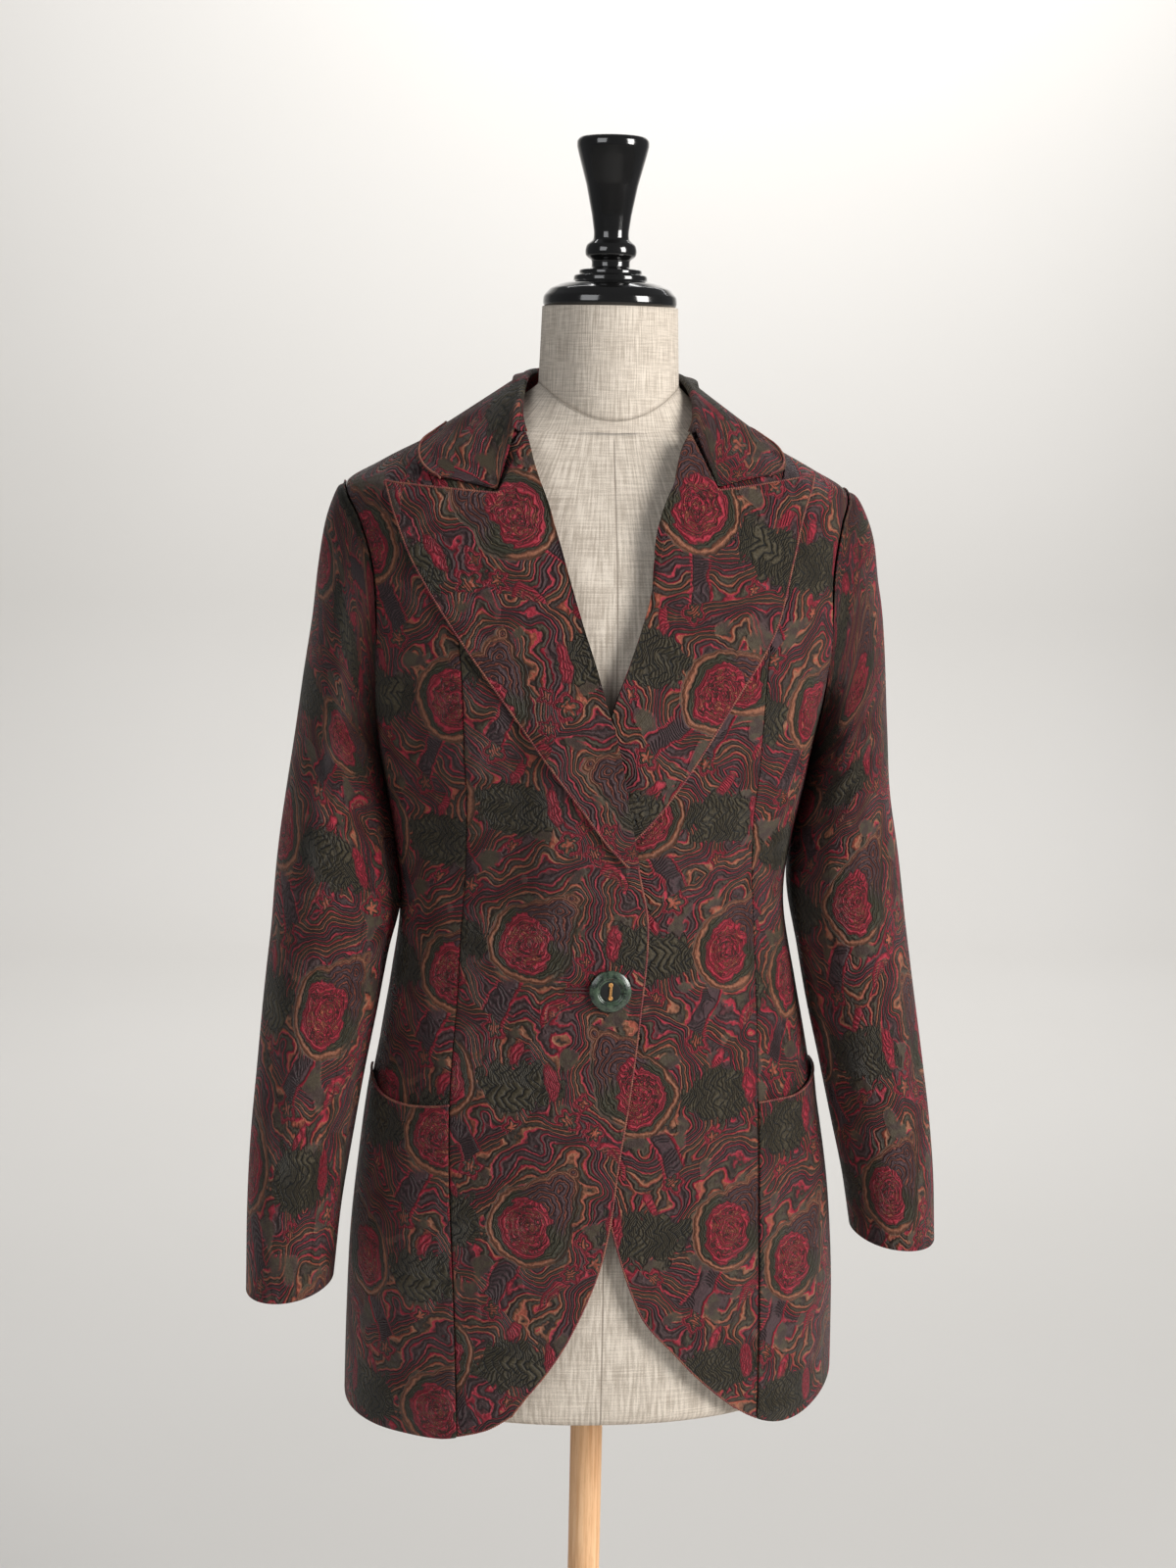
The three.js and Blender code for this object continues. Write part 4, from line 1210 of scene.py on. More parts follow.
    # The roundel: a crimson kidney with a bite, and a wavy rust figure within
    head = w.add(ellipse(-3, -3, 19.0, 23), w.mul(w.sub(broad, 0.5), 8.0))
    bite = w.sub(6.5, length(w.vector("SUBTRACT", q, (18.0, -4.0, 0.0))))
    head = w.most(w.add(head, w.mul(blur, 1.4)), bite)
    in_head = w.step(head, 0.4, -0.4)
    color = w.mix(in_head, color, CRIMSON)
    twist = w.vector("ADD", q, w.vector("SCALE", wander, scale=30.0))
    twist = w.vector("MULTIPLY", w.vector("SUBTRACT", twist, (-2.0, -4.0, 0.0)), (0.8, 0.7, 0.0))
    figure = w.vector("LENGTH", twist, out=1)
    scroll = w.math("PINGPONG", w.add(figure, w.mul(flow, 30.0)), 2.9)
    core = w.step(head, -3.0, -4.2)
    within = w.mix(w.step(broad, 0.45, 0.55), paint(92, 38, 34), RUST)
    color = w.mix(w.mul(core, w.step(scroll, 1.5, 0.9)), color, within)
    groove = w.least(
        groove,
        w.math("ABSOLUTE", head),
        w.add(w.mul(w.math("ABSOLUTE", w.sub(scroll, 1.2)), 1.6), w.mul(w.sub(1.0, core), 6.0)),
    )

    # Rows of weft, the quilted relief with painted shade in its grooves, and the sheen of the threads
    weft = w.math("SINE", w.mul(w.split(place)[1], 2 * math.pi / 0.8))
    fleck = w.noise(place, 1.6, 1.0)
    fleck_tone = w.add(0.78, w.mul(fleck, 0.4))
    # Painted shade: along the quilted grooves the colour falls to 0.36 of itself, as the relief's shade; the
    # fleck is random tone
    color = w.vector("SCALE", color, scale=w.mul(fleck_tone, w.add(0.36, w.mul(w.step(groove, 0.0, 1.5), 0.64))))
    puff = w.math("POWER", w.step(groove, 0.0, 2.6), 0.7)
    pucker = w.noise(w.vector("MULTIPLY", place, (1.0, 1.4, 0.0)), 0.17, 2.0)
    height = w.add(w.mul(puff, 0.75), w.add(w.mul(pucker, 0.55), w.mul(grain, 0.22)))
    height = w.add(height, w.mul(weft, 0.05))
    normal = w.bump(height, 1.0, 0.0030)
    rough = w.add(0.46, w.mul(fleck, 0.18))
    return w.finish(
        color,
        rough,
        normal,
        Sheen_Weight=0.04,
        Sheen_Roughness=0.35,
        Specular_IOR_Level=0.34,
    )


def cord_finish():
    w = Weaver("twisted_piping")
    place = w.vector("SCALE", w.coords(), scale=1000.0)
    tone = w.step(w.noise(place, 0.12, 2.0), 0.4, 0.6)
    color = w.mix(tone, paint(126, 46, 50), paint(150, 88, 66))
    fine = w.noise(place, 3.0, 1.0)
    color = w.mix(w.mul(fine, 0.5), color, paint(60, 34, 32))
    return w.finish(color, 0.5, w.bump(fine, 0.4, 0.0003), Sheen_Weight=0.15, Specular_IOR_Level=0.4)


def linen():
    """Unbleached linen: slubs run up and down, over a fine plain weave."""
    w = Weaver("slub_linen")
    place = w.vector("SCALE", w.coords(), scale=1000.0)
    x, y, z = w.split(place)
    round_ = w.mul(w.math("ARCTAN2", x, w.mul(y, -1.0)), 60.0)
    cloth = w.join(round_, z, 0.0)
    slub = w.noise(w.vector("MULTIPLY", cloth, (1.1, 0.05, 0.0)), 0.9, 2.0)
    weft = w.noise(w.vector("MULTIPLY", cloth, (0.06, 1.0, 0.0)), 0.9, 2.0)
    fine = w.noise(cloth, 1.5, 1.0)
    tone = w.add(w.mul(slub, 0.5), w.add(w.mul(weft, 0.3), w.mul(fine, 0.2)))
    color = w.mix(w.step(tone, 0.36, 0.64), paint(176, 164, 150), paint(224, 213, 199))
    seam = w.line(x, 1.1, 0.4)
    front = w.step(z, 1372.0, 1366.0)
    line = w.mul(seam, front)
    color = w.mix(w.mul(line, 0.55), color, paint(120, 108, 96))
    height = w.sub(w.add(w.mul(slub, 0.6), w.mul(weft, 0.4)), w.mul(line, 0.8))
    return w.finish(color, 0.88, w.bump(height, 0.55, 0.0006), Sheen_Weight=0.1, Specular_IOR_Level=0.25)


def lacquer():
    w = Weaver("black_lacquer")
    place = w.vector("SCALE", w.coords(), scale=1000.0)
    wear = w.noise(place, 0.05, 3.0)
    rough = w.add(0.08, w.mul(wear, 0.10))
    fine = w.noise(place, 0.02, 1.0)
    return w.finish(
        w.mix(wear, paint(12, 12, 12), paint(22, 21, 21)),
        rough,
        w.bump(fine, 0.12, 0.0006),
        Specular_IOR_Level=0.55,
        Coat_Weight=0.5,
        Coat_Roughness=0.06,
    )


def wood(name, across):
    """Pale turned beech, its grain along the pole or across the base."""
    w = Weaver(name)
    place = w.vector("SCALE", w.coords(), scale=1000.0)
    stretch = (0.05, 1.0, 1.0) if across else (1.0, 1.0, 0.035)
    grain = w.noise(w.vector("MULTIPLY", place, stretch), 0.28, 4.0, 0.6)
    pores = w.noise(w.vector("MULTIPLY", place, tuple(v * 3 for v in stretch)), 0.8, 2.0)
    color = w.mix(w.step(grain, 0.3, 0.7), paint(214, 160, 112), paint(246, 203, 158))
    color = w.mix(w.mul(w.step(pores, 0.58, 0.7), 0.35), color, paint(170, 118, 76))
    return w.finish(color, w.add(0.42, w.mul(grain, 0.16)), w.bump(pores, 0.2, 0.0003), Specular_IOR_Level=0.4)


def horn():
    w = Weaver("green_horn")
    place = w.vector("SCALE", w.coords(), scale=1000.0)
    cloud = w.noise(place, 0.22, 3.0, 0.6)
    vein = w.noise(w.vector("MULTIPLY", place, (1.0, 1.0, 2.0)), 0.5, 3.0, 0.7)
    color = w.mix(w.step(cloud, 0.35, 0.65), paint(24, 34, 28), paint(66, 82, 66))
    color = w.mix(w.mul(w.step(vein, 0.55, 0.7), 0.5), color, paint(104, 118, 98))
    return w.finish(
        color, 0.26, w.bump(vein, 0.15, 0.0003), Specular_IOR_Level=0.5, Coat_Weight=0.3, Coat_Roughness=0.12
    )


def plain_finish(name, color, rough, **more):
    w = Weaver(name)
    place = w.vector("SCALE", w.coords(), scale=1000.0)
    fine = w.noise(place, 1.4, 2.0)
    dark = tuple(c * 0.72 for c in color)
    return w.finish(w.mix(fine, dark, color), rough, w.bump(fine, 0.25, 0.0004), **more)


# The jacket

BROCADE_BODY = brocade("brocade_cloth")
PIPING = cord_finish()
LINEN = linen()

# Where the pattern starts on each cut piece: across and up
CUT = {
    "front_right": (53.0, 35.0),
    "front_left": (52.0, 43.0),
    "side_front_right": (110.0, 64.0),
    "side_front_left": (133.0, 74.0),
    "back_right": (20.0, 10.0),
    "back_left": (-20.0, 10.0),
    "pocket_right": (122.0, 185.0),
    "pocket_left": (-8.0, 77.0),
}
PANEL_SIZES = {"front": (118, 740), "side_front": (92, 735), "back": (185, 745), "pocket": (92, 250)}
edges = {}


def build_body(side):
    sheets = []
    for kind, spots, folds in (
        ("front", front_spots(side), BODY_FOLDS[side]),
        ("side_front", side_front_spots(side), BODY_FOLDS[side]),
        ("back", back_spots(side), BACK_FOLDS[side]),
    ):
        name = f"{kind}_{side}"
        width, length = PANEL_SIZES[kind]
        if kind == "front":
            lift_of = lambda spot, across: front_lift(side, spot)
        else:
            lift_of = lambda spot, across: np.zeros(np.shape(spot[0]))
        piece, outer = body_panel(
            f"cloth_{name}", side, spots, width, length, folds, lift_of, CLOTH, CUT[name], BROCADE_BODY
        )
        edges[name] = outer
        sheets.append((piece, name))
    return sheets


def build_pocket(side):
    spots = side_front_spots(side)
    width, length = PANEL_SIZES["pocket"]
    across, up = np.meshgrid(shares(width), shares(length))
    low = spots(across[:1] * 1.0, np.zeros_like(across[:1]))
    probe = spots(across[:1], np.full_like(across[:1], 7 / PANEL_ROWS))
    mouth = at(POCKET_MOUTH[side], body_point(*probe)[..., 0])["z"]
    share_up = (mouth - low[1]) / ((UNDERARM - low[1]) / ARM_SHARE)
    spot = spots(across, up * share_up)
    turn, z = spot
    x = body_point(turn, z)[..., 0]
    lift = CLOTH + LAYER + fold_lift(x, z, BODY_FOLDS[side])
    # The pocket gapes a little at its mouth
    gape = 2.2 * np.sin(np.pi * np.clip(across, 0, 1)) * smooth(0.86, 1.0, up)
    rim = rim_drop(across, width, 0.6) + rim_drop(up, length, 0.6)
    outer = on_body(spot, lift + 1.3 + gape - np.minimum(rim, 0.7))
    inner = on_body(spot, lift + gape)
    name = f"pocket_{side}"
    uvs = np.stack([arc(turn, z) + CUT[name][0], z + CUT[name][1]], axis=-1)
    edges[name] = outer
    return shell(f"cloth_{name}", inner, outer, uvs, BROCADE_BODY), name


def build_lapel(side):
    width, length = 115, 268
    across, up = np.meshgrid(shares(width, 2.4), shares(length, 2.4))
    spot = lapel_spots(side)(across, up)
    turn, z = spot
    lift = lapel_rise(side, spot, across)
    roll = 1.4 * (1 - across) ** 3 * smooth(0.05, 0.3, up)
    wave = 0.8 * np.sin(up * 7 + (1 if side == "left" else 2)) * np.sin(np.pi * across) ** 2
    lift = lift + roll + np.maximum(wave, -0.3)
    rim = rim_drop(across, width, 1.0) + rim_drop(up, length, 1.0)
    outer = on_body(spot, lift + CLOTH - np.minimum(rim, 1.2))
    inner = on_body(spot, lift)
    u = arc(turn, z)
    lean = SIGN[side] * 0.48
    pu = u * math.cos(lean) - (z - 1200) * math.sin(lean)
    pv = u * math.sin(lean) + (z - 1200) * math.cos(lean)
    start = (-8.0, -79.0) if side == "right" else (-1.0, -84.0)
    uvs = np.stack([-pu + start[0], pv + 1200 + start[1]], axis=-1)
    name = f"lapel_{side}"
    edges[name] = outer
    return shell(f"cloth_{name}", inner, outer, uvs, BROCADE_BODY), name


def build_sleeve(side, upper):
    name = f"sleeve_{'upper' if upper else 'under'}_{side}"
    width, length = (235, 610) if upper else (110, 610)
    gap = 0.25
    start = -SLEEVE_SEAM + gap if upper else SLEEVE_SEAM + gap
    end = SLEEVE_SEAM - gap if upper else 360 - SLEEVE_SEAM - gap
    across, down = np.meshgrid(shares(width), shares(length))
    angle = lerp(start, end, across)
    middle, normal = sleeve_point(side, angle, down), sleeve_normal(side, angle, down)
    folds = np.zeros(np.shape(angle))
    millimetres = down * length
    for a0, d0, a1, d1, near, far, height in SLEEVE_FOLDS[side]:
        # A degree of turn is about a millimetre of cloth
        folds = folds + fold_lift(angle, millimetres, [[a0, d0, a1, d1, near, far, height]])
        folds = folds + fold_lift(angle - 360, millimetres, [[a0, d0, a1, d1, near, far, height]])
        folds = folds + fold_lift(angle + 360, millimetres, [[a0, d0, a1, d1, near, far, height]])
    # By the body the cloth stays where it lies; at the seams of the head it is held
    toward = smooth(0.2, 0.85, -np.cos(np.radians(angle)))
    free = (1 - 0.85 * toward) * smooth(6, 40, millimetres)
    puff = 1.5 * np.exp(-((millimetres - 14) / 12) ** 2) * smooth(-0.2, 0.5, np.cos(np.radians(angle)))
    bend = folds * free + 0.4 * ease_wobble(angle, millimetres, len(name)) * smooth(4, 16, millimetres)
    rim = rim_drop(across, width, 0.9) + rim_drop(down, length, 0.9)
    lift = (bend + puff)[..., None]
    outer = middle + normal * (lift + 1.0 - np.minimum(rim, 1.1)[..., None])
    inner = middle + normal * (lift - 1.0)
    radius = 62 - 14 * down
    run = 16.0 if side == "right" else -12.0
    fall = 1336 - millimetres
    drop = 34.0 if side == "right" else -40.0
    uvs = np.stack([SIGN[side] * np.radians(angle) * radius + run, fall + drop], axis=-1)
    edges[name] = outer
    return shell(f"cloth_{name}", inner, outer, uvs, BROCADE_BODY), name


def build_collar():
    steps = 60
    sections, runs = [], []
    for step in range(-steps, steps + 1):
        side = "right" if step < 0 else "left"
        along = abs(step) / steps
        sections.append(collar_section(side, along, 26))
        runs.append(SIGN[side] * along * 205.0)
    middle = np.array(sections)
    right = np.gradient(middle, axis=0)
    rise = np.gradient(middle, axis=1)
    normal = unit(np.cross(right, rise))
    # The side that shows on the fall looks away from the neck
    centre = np.array([-4.0, 0.0, 1370.0])
    if np.sum((middle[:, -3] - centre) * normal[:, -3]) < 0:
        normal = -normal
    length = np.concatenate([
        np.zeros((middle.shape[0], 1)),
        np.cumsum(np.linalg.norm(np.diff(middle, axis=1), axis=-1), axis=1),
    ], axis=1)
    share = length / length[:, -1:]
    edge = rim_drop(share, 75.0, 0.8)
    along_share = np.linspace(0, 1, middle.shape[0])[:, None]
    edge = np.minimum(edge + rim_drop(along_share, 410.0, 0.8), 1.0)
    outer = middle + normal * (0.9 - edge[..., None])
    inner = middle - normal * 0.9
    uvs = np.stack([np.broadcast_to(np.array(runs)[:, None], length.shape), 1395 - length], axis=-1)
    edges["collar"] = outer
    return shell("cloth_collar", inner, outer, uvs, BROCADE_BODY), "collar"


cloth = []
for side in SIDES:
    cloth += build_body(side)
    cloth.append(build_pocket(side))
    cloth.append(build_lapel(side))
    cloth.append(build_sleeve(side, True))
    cloth.append(build_sleeve(side, False))
cloth.append(build_collar())


# Piping and stitches


def strand(name, lines):
    """A mesh of bare edges along lines of points."""
    points, pairs, first = [], [], 0
    for line in lines:
        points.append(line)
        pairs += [(first + k, first + k + 1) for k in range(len(line) - 1)]
        first += len(line)
    data = bpy.data.meshes.new(name)
    data.from_pydata((np.concatenate(points) * MM).tolist(), pairs, [])
    thing = bpy.data.objects.new(name, data)
    bpy.context.scene.collection.objects.link(thing)
    return thing


def twist_tree():
    """Nodes that lay short slanted twists along a line, as in a two-ply cord."""
    tree = bpy.data.node_groups.new("twisted_cord", "GeometryNodeTree")
    face = tree.interface
    face.new_socket("Geometry", in_out="INPUT", socket_type="NodeSocketGeometry")
    sizes = {}
    for label, value in (("Pitch", 0.0017), ("Width", 0.0009), ("Length", 0.0024), ("Slant", 0.55)):
        socket = face.new_socket(label, in_out="INPUT", socket_type="NodeSocketFloat")
        socket.default_value = value
        sizes[label] = socket.identifier
    seed = face.new_socket("Seed", in_out="INPUT", socket_type="NodeSocketInt")
    seed.default_value = 4
    sizes["Seed"] = seed.identifier
    stuff = face.new_socket("Material", in_out="INPUT", socket_type="NodeSocketMaterial")
    sizes["Material"] = stuff.identifier
    face.new_socket("Geometry", in_out="OUTPUT", socket_type="NodeSocketGeometry")
    nodes, links = tree.nodes, tree.links
    start, end = nodes.new("NodeGroupInput"), nodes.new("NodeGroupOutput")
    curve = nodes.new("GeometryNodeMeshToCurve")
    resample = nodes.new("GeometryNodeResampleCurve")
    resample.mode = "LENGTH"
    points = nodes.new("GeometryNodeInstanceOnPoints")
    ball = nodes.new("GeometryNodeMeshUVSphere")
    ball.inputs["Segments"].default_value = 6
    ball.inputs["Rings"].default_value = 4
    ball.inputs["Radius"].default_value = 1.0
    align = nodes.new("FunctionNodeAlignRotationToVector")
    align.axis = "X"
    tangent = nodes.new("GeometryNodeInputTangent")
    spin = nodes.new("FunctionNodeRotateRotation")
    spin.rotation_space = "LOCAL"
    tilt = nodes.new("FunctionNodeEulerToRotation")
    slant = nodes.new("ShaderNodeCombineXYZ")
    size = nodes.new("ShaderNodeCombineXYZ")
    vary = nodes.new("FunctionNodeRandomValue")
    vary.data_type = "FLOAT"
    vary.inputs["Min"].default_value = 0.9
    vary.inputs["Max"].default_value = 1.1
    wide = nodes.new("ShaderNodeMath")
    wide.operation = "MULTIPLY"
    realize = nodes.new("GeometryNodeRealizeInstances")
    smooth_ = nodes.new("GeometryNodeSetShadeSmooth")
    dress = nodes.new("GeometryNodeSetMaterial")
    links.new(start.outputs["Geometry"], curve.inputs[0])
    links.new(curve.outputs[0], resample.inputs["Curve"])
    links.new(start.outputs["Pitch"], resample.inputs["Length"])
    links.new(resample.outputs[0], points.inputs["Points"])
    links.new(ball.outputs["Mesh"], points.inputs["Instance"])
    links.new(tangent.outputs[0], align.inputs["Vector"])
    links.new(align.outputs[0], spin.inputs["Rotation"])
    links.new(start.outputs["Slant"], slant.inputs[2])
    links.new(start.outputs["Slant"], slant.inputs[1])
    links.new(slant.outputs[0], tilt.inputs[0])
    links.new(tilt.outputs[0], spin.inputs["Rotate By"])
    links.new(spin.outputs[0], points.inputs["Rotation"])
    links.new(start.outputs["Seed"], vary.inputs["Seed"])
    floats = [o for o in vary.outputs if o.type == "VALUE"]
    links.new(floats[0], wide.inputs[0])
    links.new(start.outputs["Width"], wide.inputs[1])
    half = nodes.new("ShaderNodeMath")
    half.operation = "MULTIPLY"
    half.inputs[1].default_value = 0.5
    links.new(start.outputs["Length"], half.inputs[0])
    links.new(half.outputs[0], size.inputs[0])
    links.new(wide.outputs[0], size.inputs[1])
    links.new(wide.outputs[0], size.inputs[2])
    links.new(size.outputs[0], points.inputs["Scale"])
    links.new(points.outputs[0], realize.inputs[0])
    links.new(realize.outputs[0], smooth_.inputs[0])
    links.new(smooth_.outputs[0], dress.inputs["Geometry"])
    links.new(start.outputs["Material"], dress.inputs["Material"])
    links.new(dress.outputs[0], end.inputs[0])
    return tree, sizes


TWIST, TWIST_INPUTS = twist_tree()


def twisted(name, lines, finish, pitch=1.7, width=0.9, length=2.4, slant=0.55):
    """Piping or stitches along lines, made a plain mesh."""
    base = strand(name + "_line", lines)
    modifier = base.modifiers.new("twist", "NODES")
    modifier.node_group = TWIST
    for label, value in (
        ("Pitch", pitch * MM),
        ("Width", width * MM),
        ("Length", length * MM),
        ("Slant", slant),
        ("Seed", 4),
        ("Material", finish),
    ):
        modifier[TWIST_INPUTS[label]] = value
    bpy.context.view_layer.update()
    graph = bpy.context.evaluated_depsgraph_get()
    data = bpy.data.meshes.new_from_object(base.evaluated_get(graph))
    data.name = name
    base.modifiers.clear()
    bpy.data.objects.remove(base)
    thing = bpy.data.objects.new(name, data)
    bpy.context.scene.collection.objects.link(thing)
    if not data.materials:
        data.materials.append(finish)
    return thing


def set_in(outer, which, inset, lift):
    """A line on a grid, a little in from one border, moved off the cloth."""
    border = rim_line(outer, which)
    grid = outer if which in ("start", "end") else np.swapaxes(outer, 0, 1)
    deeper = grid[:, 6] if which in ("start", "bottom") else grid[:, -7]
    inward_ = unit(deeper - border)
    along = unit(np.gradient(border, axis=0))
    normal = unit(np.cross(along, inward_))
    middle = border[len(border) // 2]
    if np.dot(normal[len(border) // 2], middle - np.array([0, 0, middle[2]])) < 0:
        normal = -normal
    return border + inward_ * inset + normal * lift


piping = {side: [] for side in SIDES}
for side in SIDES:
    front = edges[f"front_{side}"]
    # The front edge below the break, the cutaway and the hem
    edge = set_in(front, "start", 0.7, 0.35)
    edge = edge[edge[:, 2] < BREAK_HEIGHT + 6]
    piping[side].append(edge)
    piping[side].append(set_in(front, "bottom", 0.7, 0.35))
    piping[side].append(set_in(edges[f"side_front_{side}"], "bottom", 0.7, 0.35))
    piping[side].append(set_in(edges[f"back_{side}"], "bottom", 0.7, 0.35))
    piping[side].append(set_in(edges[f"pocket_{side}"], "top", 0.8, 0.45))
    lapel = edges[f"lapel_{side}"]
    piping[side].append(set_in(lapel, "end", 0.8, 0.4))
    top = set_in(lapel, "top", 0.8, 0.4)
    piping[side].append(top[int(len(top) * 0.38):])
collar = edges["collar"]
around = collar[:, -2] + unit(collar[:, -2] - collar[:, -6]) * 0.2
normals = unit(np.cross(np.gradient(around, axis=0), collar[:, -2] - collar[:, -6]))
away = np.sum(normals * (around - np.array([-4.0, 0, 1370.0])), axis=1)
normals = normals * np.sign(away)[:, None]
collar_lines = [around + normals * 0.5]
trims = [
    (twisted(f"piping_{side}", piping[side], PIPING), side) for side in SIDES
]
trims.append((twisted("piping_collar", collar_lines, PIPING), "collar"))


# Button, buttonhole


def lathe(name, profile, finish, sides=96):
    """A turned piece about the upright axis, from rows of radius and height."""
    turns = np.linspace(0, 2 * math.pi, sides, endpoint=False)
    profile = np.array(profile, float)
    keep = profile[(profile[:, 0] > 0)]
    rings = np.stack([
        keep[:, 0, None] * np.cos(turns), keep[:, 0, None] * np.sin(turns),
        np.broadcast_to(keep[:, 1, None], (len(keep), sides)),
    ], axis=-1)
    points = rings.reshape(-1, 3)
    faces = []
    for ring in range(len(keep) - 1):
        for side_ in range(sides):
            after = (side_ + 1) % sides
            low, high = ring * sides, (ring + 1) * sides
            faces.append([low + side_, low + after, high + after, high + side_])
    faces.append([side_ for side_ in range(sides)][::-1])
    last = (len(keep) - 1) * sides
    faces.append([last + side_ for side_ in range(sides)])
    return new_mesh(name, points, faces, None, finish)


def rounded(profile, radius=0.8, steps=3):
    """A profile with its corners eased."""
    profile = np.array(profile, float)
    rows = [profile[0]]
    for before, here, after in zip(profile[:-2], profile[1:-1], profile[2:]):
        to_before, to_after = before - here, after - here
        near = min(radius, 0.4 * np.linalg.norm(to_before), 0.4 * np.linalg.norm(to_after))
        a = here + unit(to_before) * near
        b = here + unit(to_after) * near
        for share in np.linspace(0, 1, steps + 1):
            rows.append(lerp(lerp(a, here, share), lerp(here, b, share), share))
    rows.append(profile[-1])
    return rows


def place_on(thing, turn, z, lift):
    """Stands a piece that was made about +Z on the body, at a turn and height."""
    seat = on_body((np.float64(turn), np.float64(z)), np.float64(lift))
    out = body_normal(np.float64(turn), np.float64(z))
    spin = Vector((0, 0, 1)).rotation_difference(Vector(out)).to_matrix().to_4x4()
    thing.data.transform(Matrix.Translation(Vector(seat * MM)) @ spin)
    return thing


HORN = horn()
THREAD = plain_finish("copper_thread", paint(214, 158, 92), 0.42, Metallic=0.35, Specular_IOR_Level=0.5)
BUTTON_TURN = float(front_turn(np.float64(1), np.float64(BUTTON_HEIGHT)))
BUTTON_LIFT = float(front_lift("right", (np.float64(BUTTON_TURN), np.float64(BUTTON_HEIGHT)))) + CLOTH + SEAM
button = lathe("horn_button", rounded([
    [0.01, 0],
    [13.3, 0],
    [15.3, 1.6],
    [15.3, 2.8],
    [13.7, 3.6],
    [11.1, 4.6],
    [9.6, 4.4],
    [8.4, 3.0],
    [0.01, 2.8],
], 0.7), HORN)
place_on(button, BUTTON_TURN, BUTTON_HEIGHT, BUTTON_LIFT)
# Painted shade: a near-black disc laid into the button's dished centre stands for the shade of the recess
RECESS_SHADE = plain_finish("dark_recess", paint(16, 18, 16), 0.5)
recess = lathe("button_recess", [[0.01, 2.85], [7.2, 2.85], [7.4, 3.02], [7.0, 3.1], [0.01, 3.1]], RECESS_SHADE, 48)
place_on(recess, BUTTON_TURN, BUTTON_HEIGHT, BUTTON_LIFT)


def stitch_bar():
    """The thread that holds the button: a bar between two eyelets."""
    share = np.linspace(-1, 1, 25)
    bars = []
    for offset in (-0.5, 0.5):
        bars.append(np.stack([offset + share * 0.4, share * 4.6, 3.35 + 0.5 * (1 - share ** 4)], axis=-1))
    thing = twisted("button_thread", bars, THREAD, 0.55, 0.42, 1.2, 0.5)
    return place_on(thing, BUTTON_TURN, BUTTON_HEIGHT, BUTTON_LIFT)


bar = stitch_bar()
rims = []
for k, (ex, ey) in enumerate(((0.0, 4.9), (0.0, -4.9))):
    ring = lathe(f"button_eyelet_{k + 1}", rounded([
        [0.5, 3.05],
        [1.6, 3.05],
        [1.7, 3.5],
        [1.0, 3.7],
        [0.5, 3.4],
    ], 0.2), THREAD, 24)
    ring.data.transform(Matrix.Translation(Vector((ex * MM, ey * MM, 0))))
    rims.append(place_on(ring, BUTTON_TURN, BUTTON_HEIGHT, BUTTON_LIFT))

# The end of the buttonhole, left of the button, in close stitches
HOLE_THREAD = plain_finish("buttonhole_twist", paint(74, 34, 38), 0.55)
hole = []
for k, rise in enumerate((-1.3, 1.3)):
    x = np.linspace(-31, -13, 30)
    z = BUTTON_HEIGHT + rise + 0 * x
    turn, z = front_spot(x, z)
    lift = front_lift("right", (turn, z)) + CLOTH + fold_lift(x, z, BODY_FOLDS["right"]) + 0.45
    hole.append(on_body((turn, z), lift))
buttonhole = twisted("buttonhole", hole, HOLE_THREAD, 0.8, 0.7, 2.0, 1.2)


# The form, its cap, pole and base


def loft(name, rings, finish):
    rings = np.array(rings)
    rows, count = rings.shape[:2]
    points = rings.reshape(-1, 3)
    faces = []
    for ring in range(rows - 1):
        low, high = ring * count, (ring + 1) * count
        for side_ in range(count):
            after = (side_ + 1) % count
            faces.append([low + side_, low + after, high + after, high + side_])
    faces.append(list(range(count))[::-1])
    faces.append([(rows - 1) * count + side_ for side_ in range(count)])
    return new_mesh(name, points, faces, None, finish)


ROUND = np.linspace(0, 360, 180, endpoint=False)
foot = body_point(ROUND, np.full(180, float(FORM_BOTTOM)), 22)
rings = [foot]
for share in np.linspace(0, 1, 7)[1:]:
    low = body_point(ROUND, np.full(180, float(FORM_BOTTOM)), lerp(22, 9, math.sin(share * math.pi / 2)))
    low[:, 2] = FORM_BOTTOM + 10 * (1 - math.cos(share * math.pi / 2))
    rings.append(low)
for z in np.concatenate([np.arange(656, 1280, 9.0), np.arange(1280, 1372, 3.0)]):
    rings.append(form_point(ROUND, np.full(180, float(z))))
top = form_point(ROUND, np.full(180, 1374.0))
for share in np.linspace(0, 1, 14):
    point = lerp(top, neck_seam(ROUND, 0), share)
    point[:, 2] -= float(np.interp(share, [0, 0.4, 0.75, 1], [0, 4, 3, 0]))
    rings.append(point)
torso = loft("linen_torso", rings, LINEN)
neck_rings = []
for share in np.linspace(0, 1, 22):
    top = np.stack([
        (NECK_RADIUS - 2) * np.sin(np.radians(ROUND)),
        NECK_CENTRE - (NECK_RADIUS - 2) * np.cos(np.radians(ROUND)),
        np.full(180, float(NECK_TOP)),
    ], axis=-1)
    ring = lerp(neck_seam(ROUND, SEAM), top, share)
    neck_rings.append(ring)
neck = loft("linen_neck", neck_rings, LINEN)
SEAM_THREAD = plain_finish("seam_thread", paint(214, 204, 190), 0.8)
seam_ring = neck_seam(np.linspace(0, 360, 240), 0.15)
seam_ring[:, :2] *= 1.004
neck_stitches = twisted("neck_seam", [seam_ring], SEAM_THREAD, 1.6, 0.35, 1.3, 0.2)

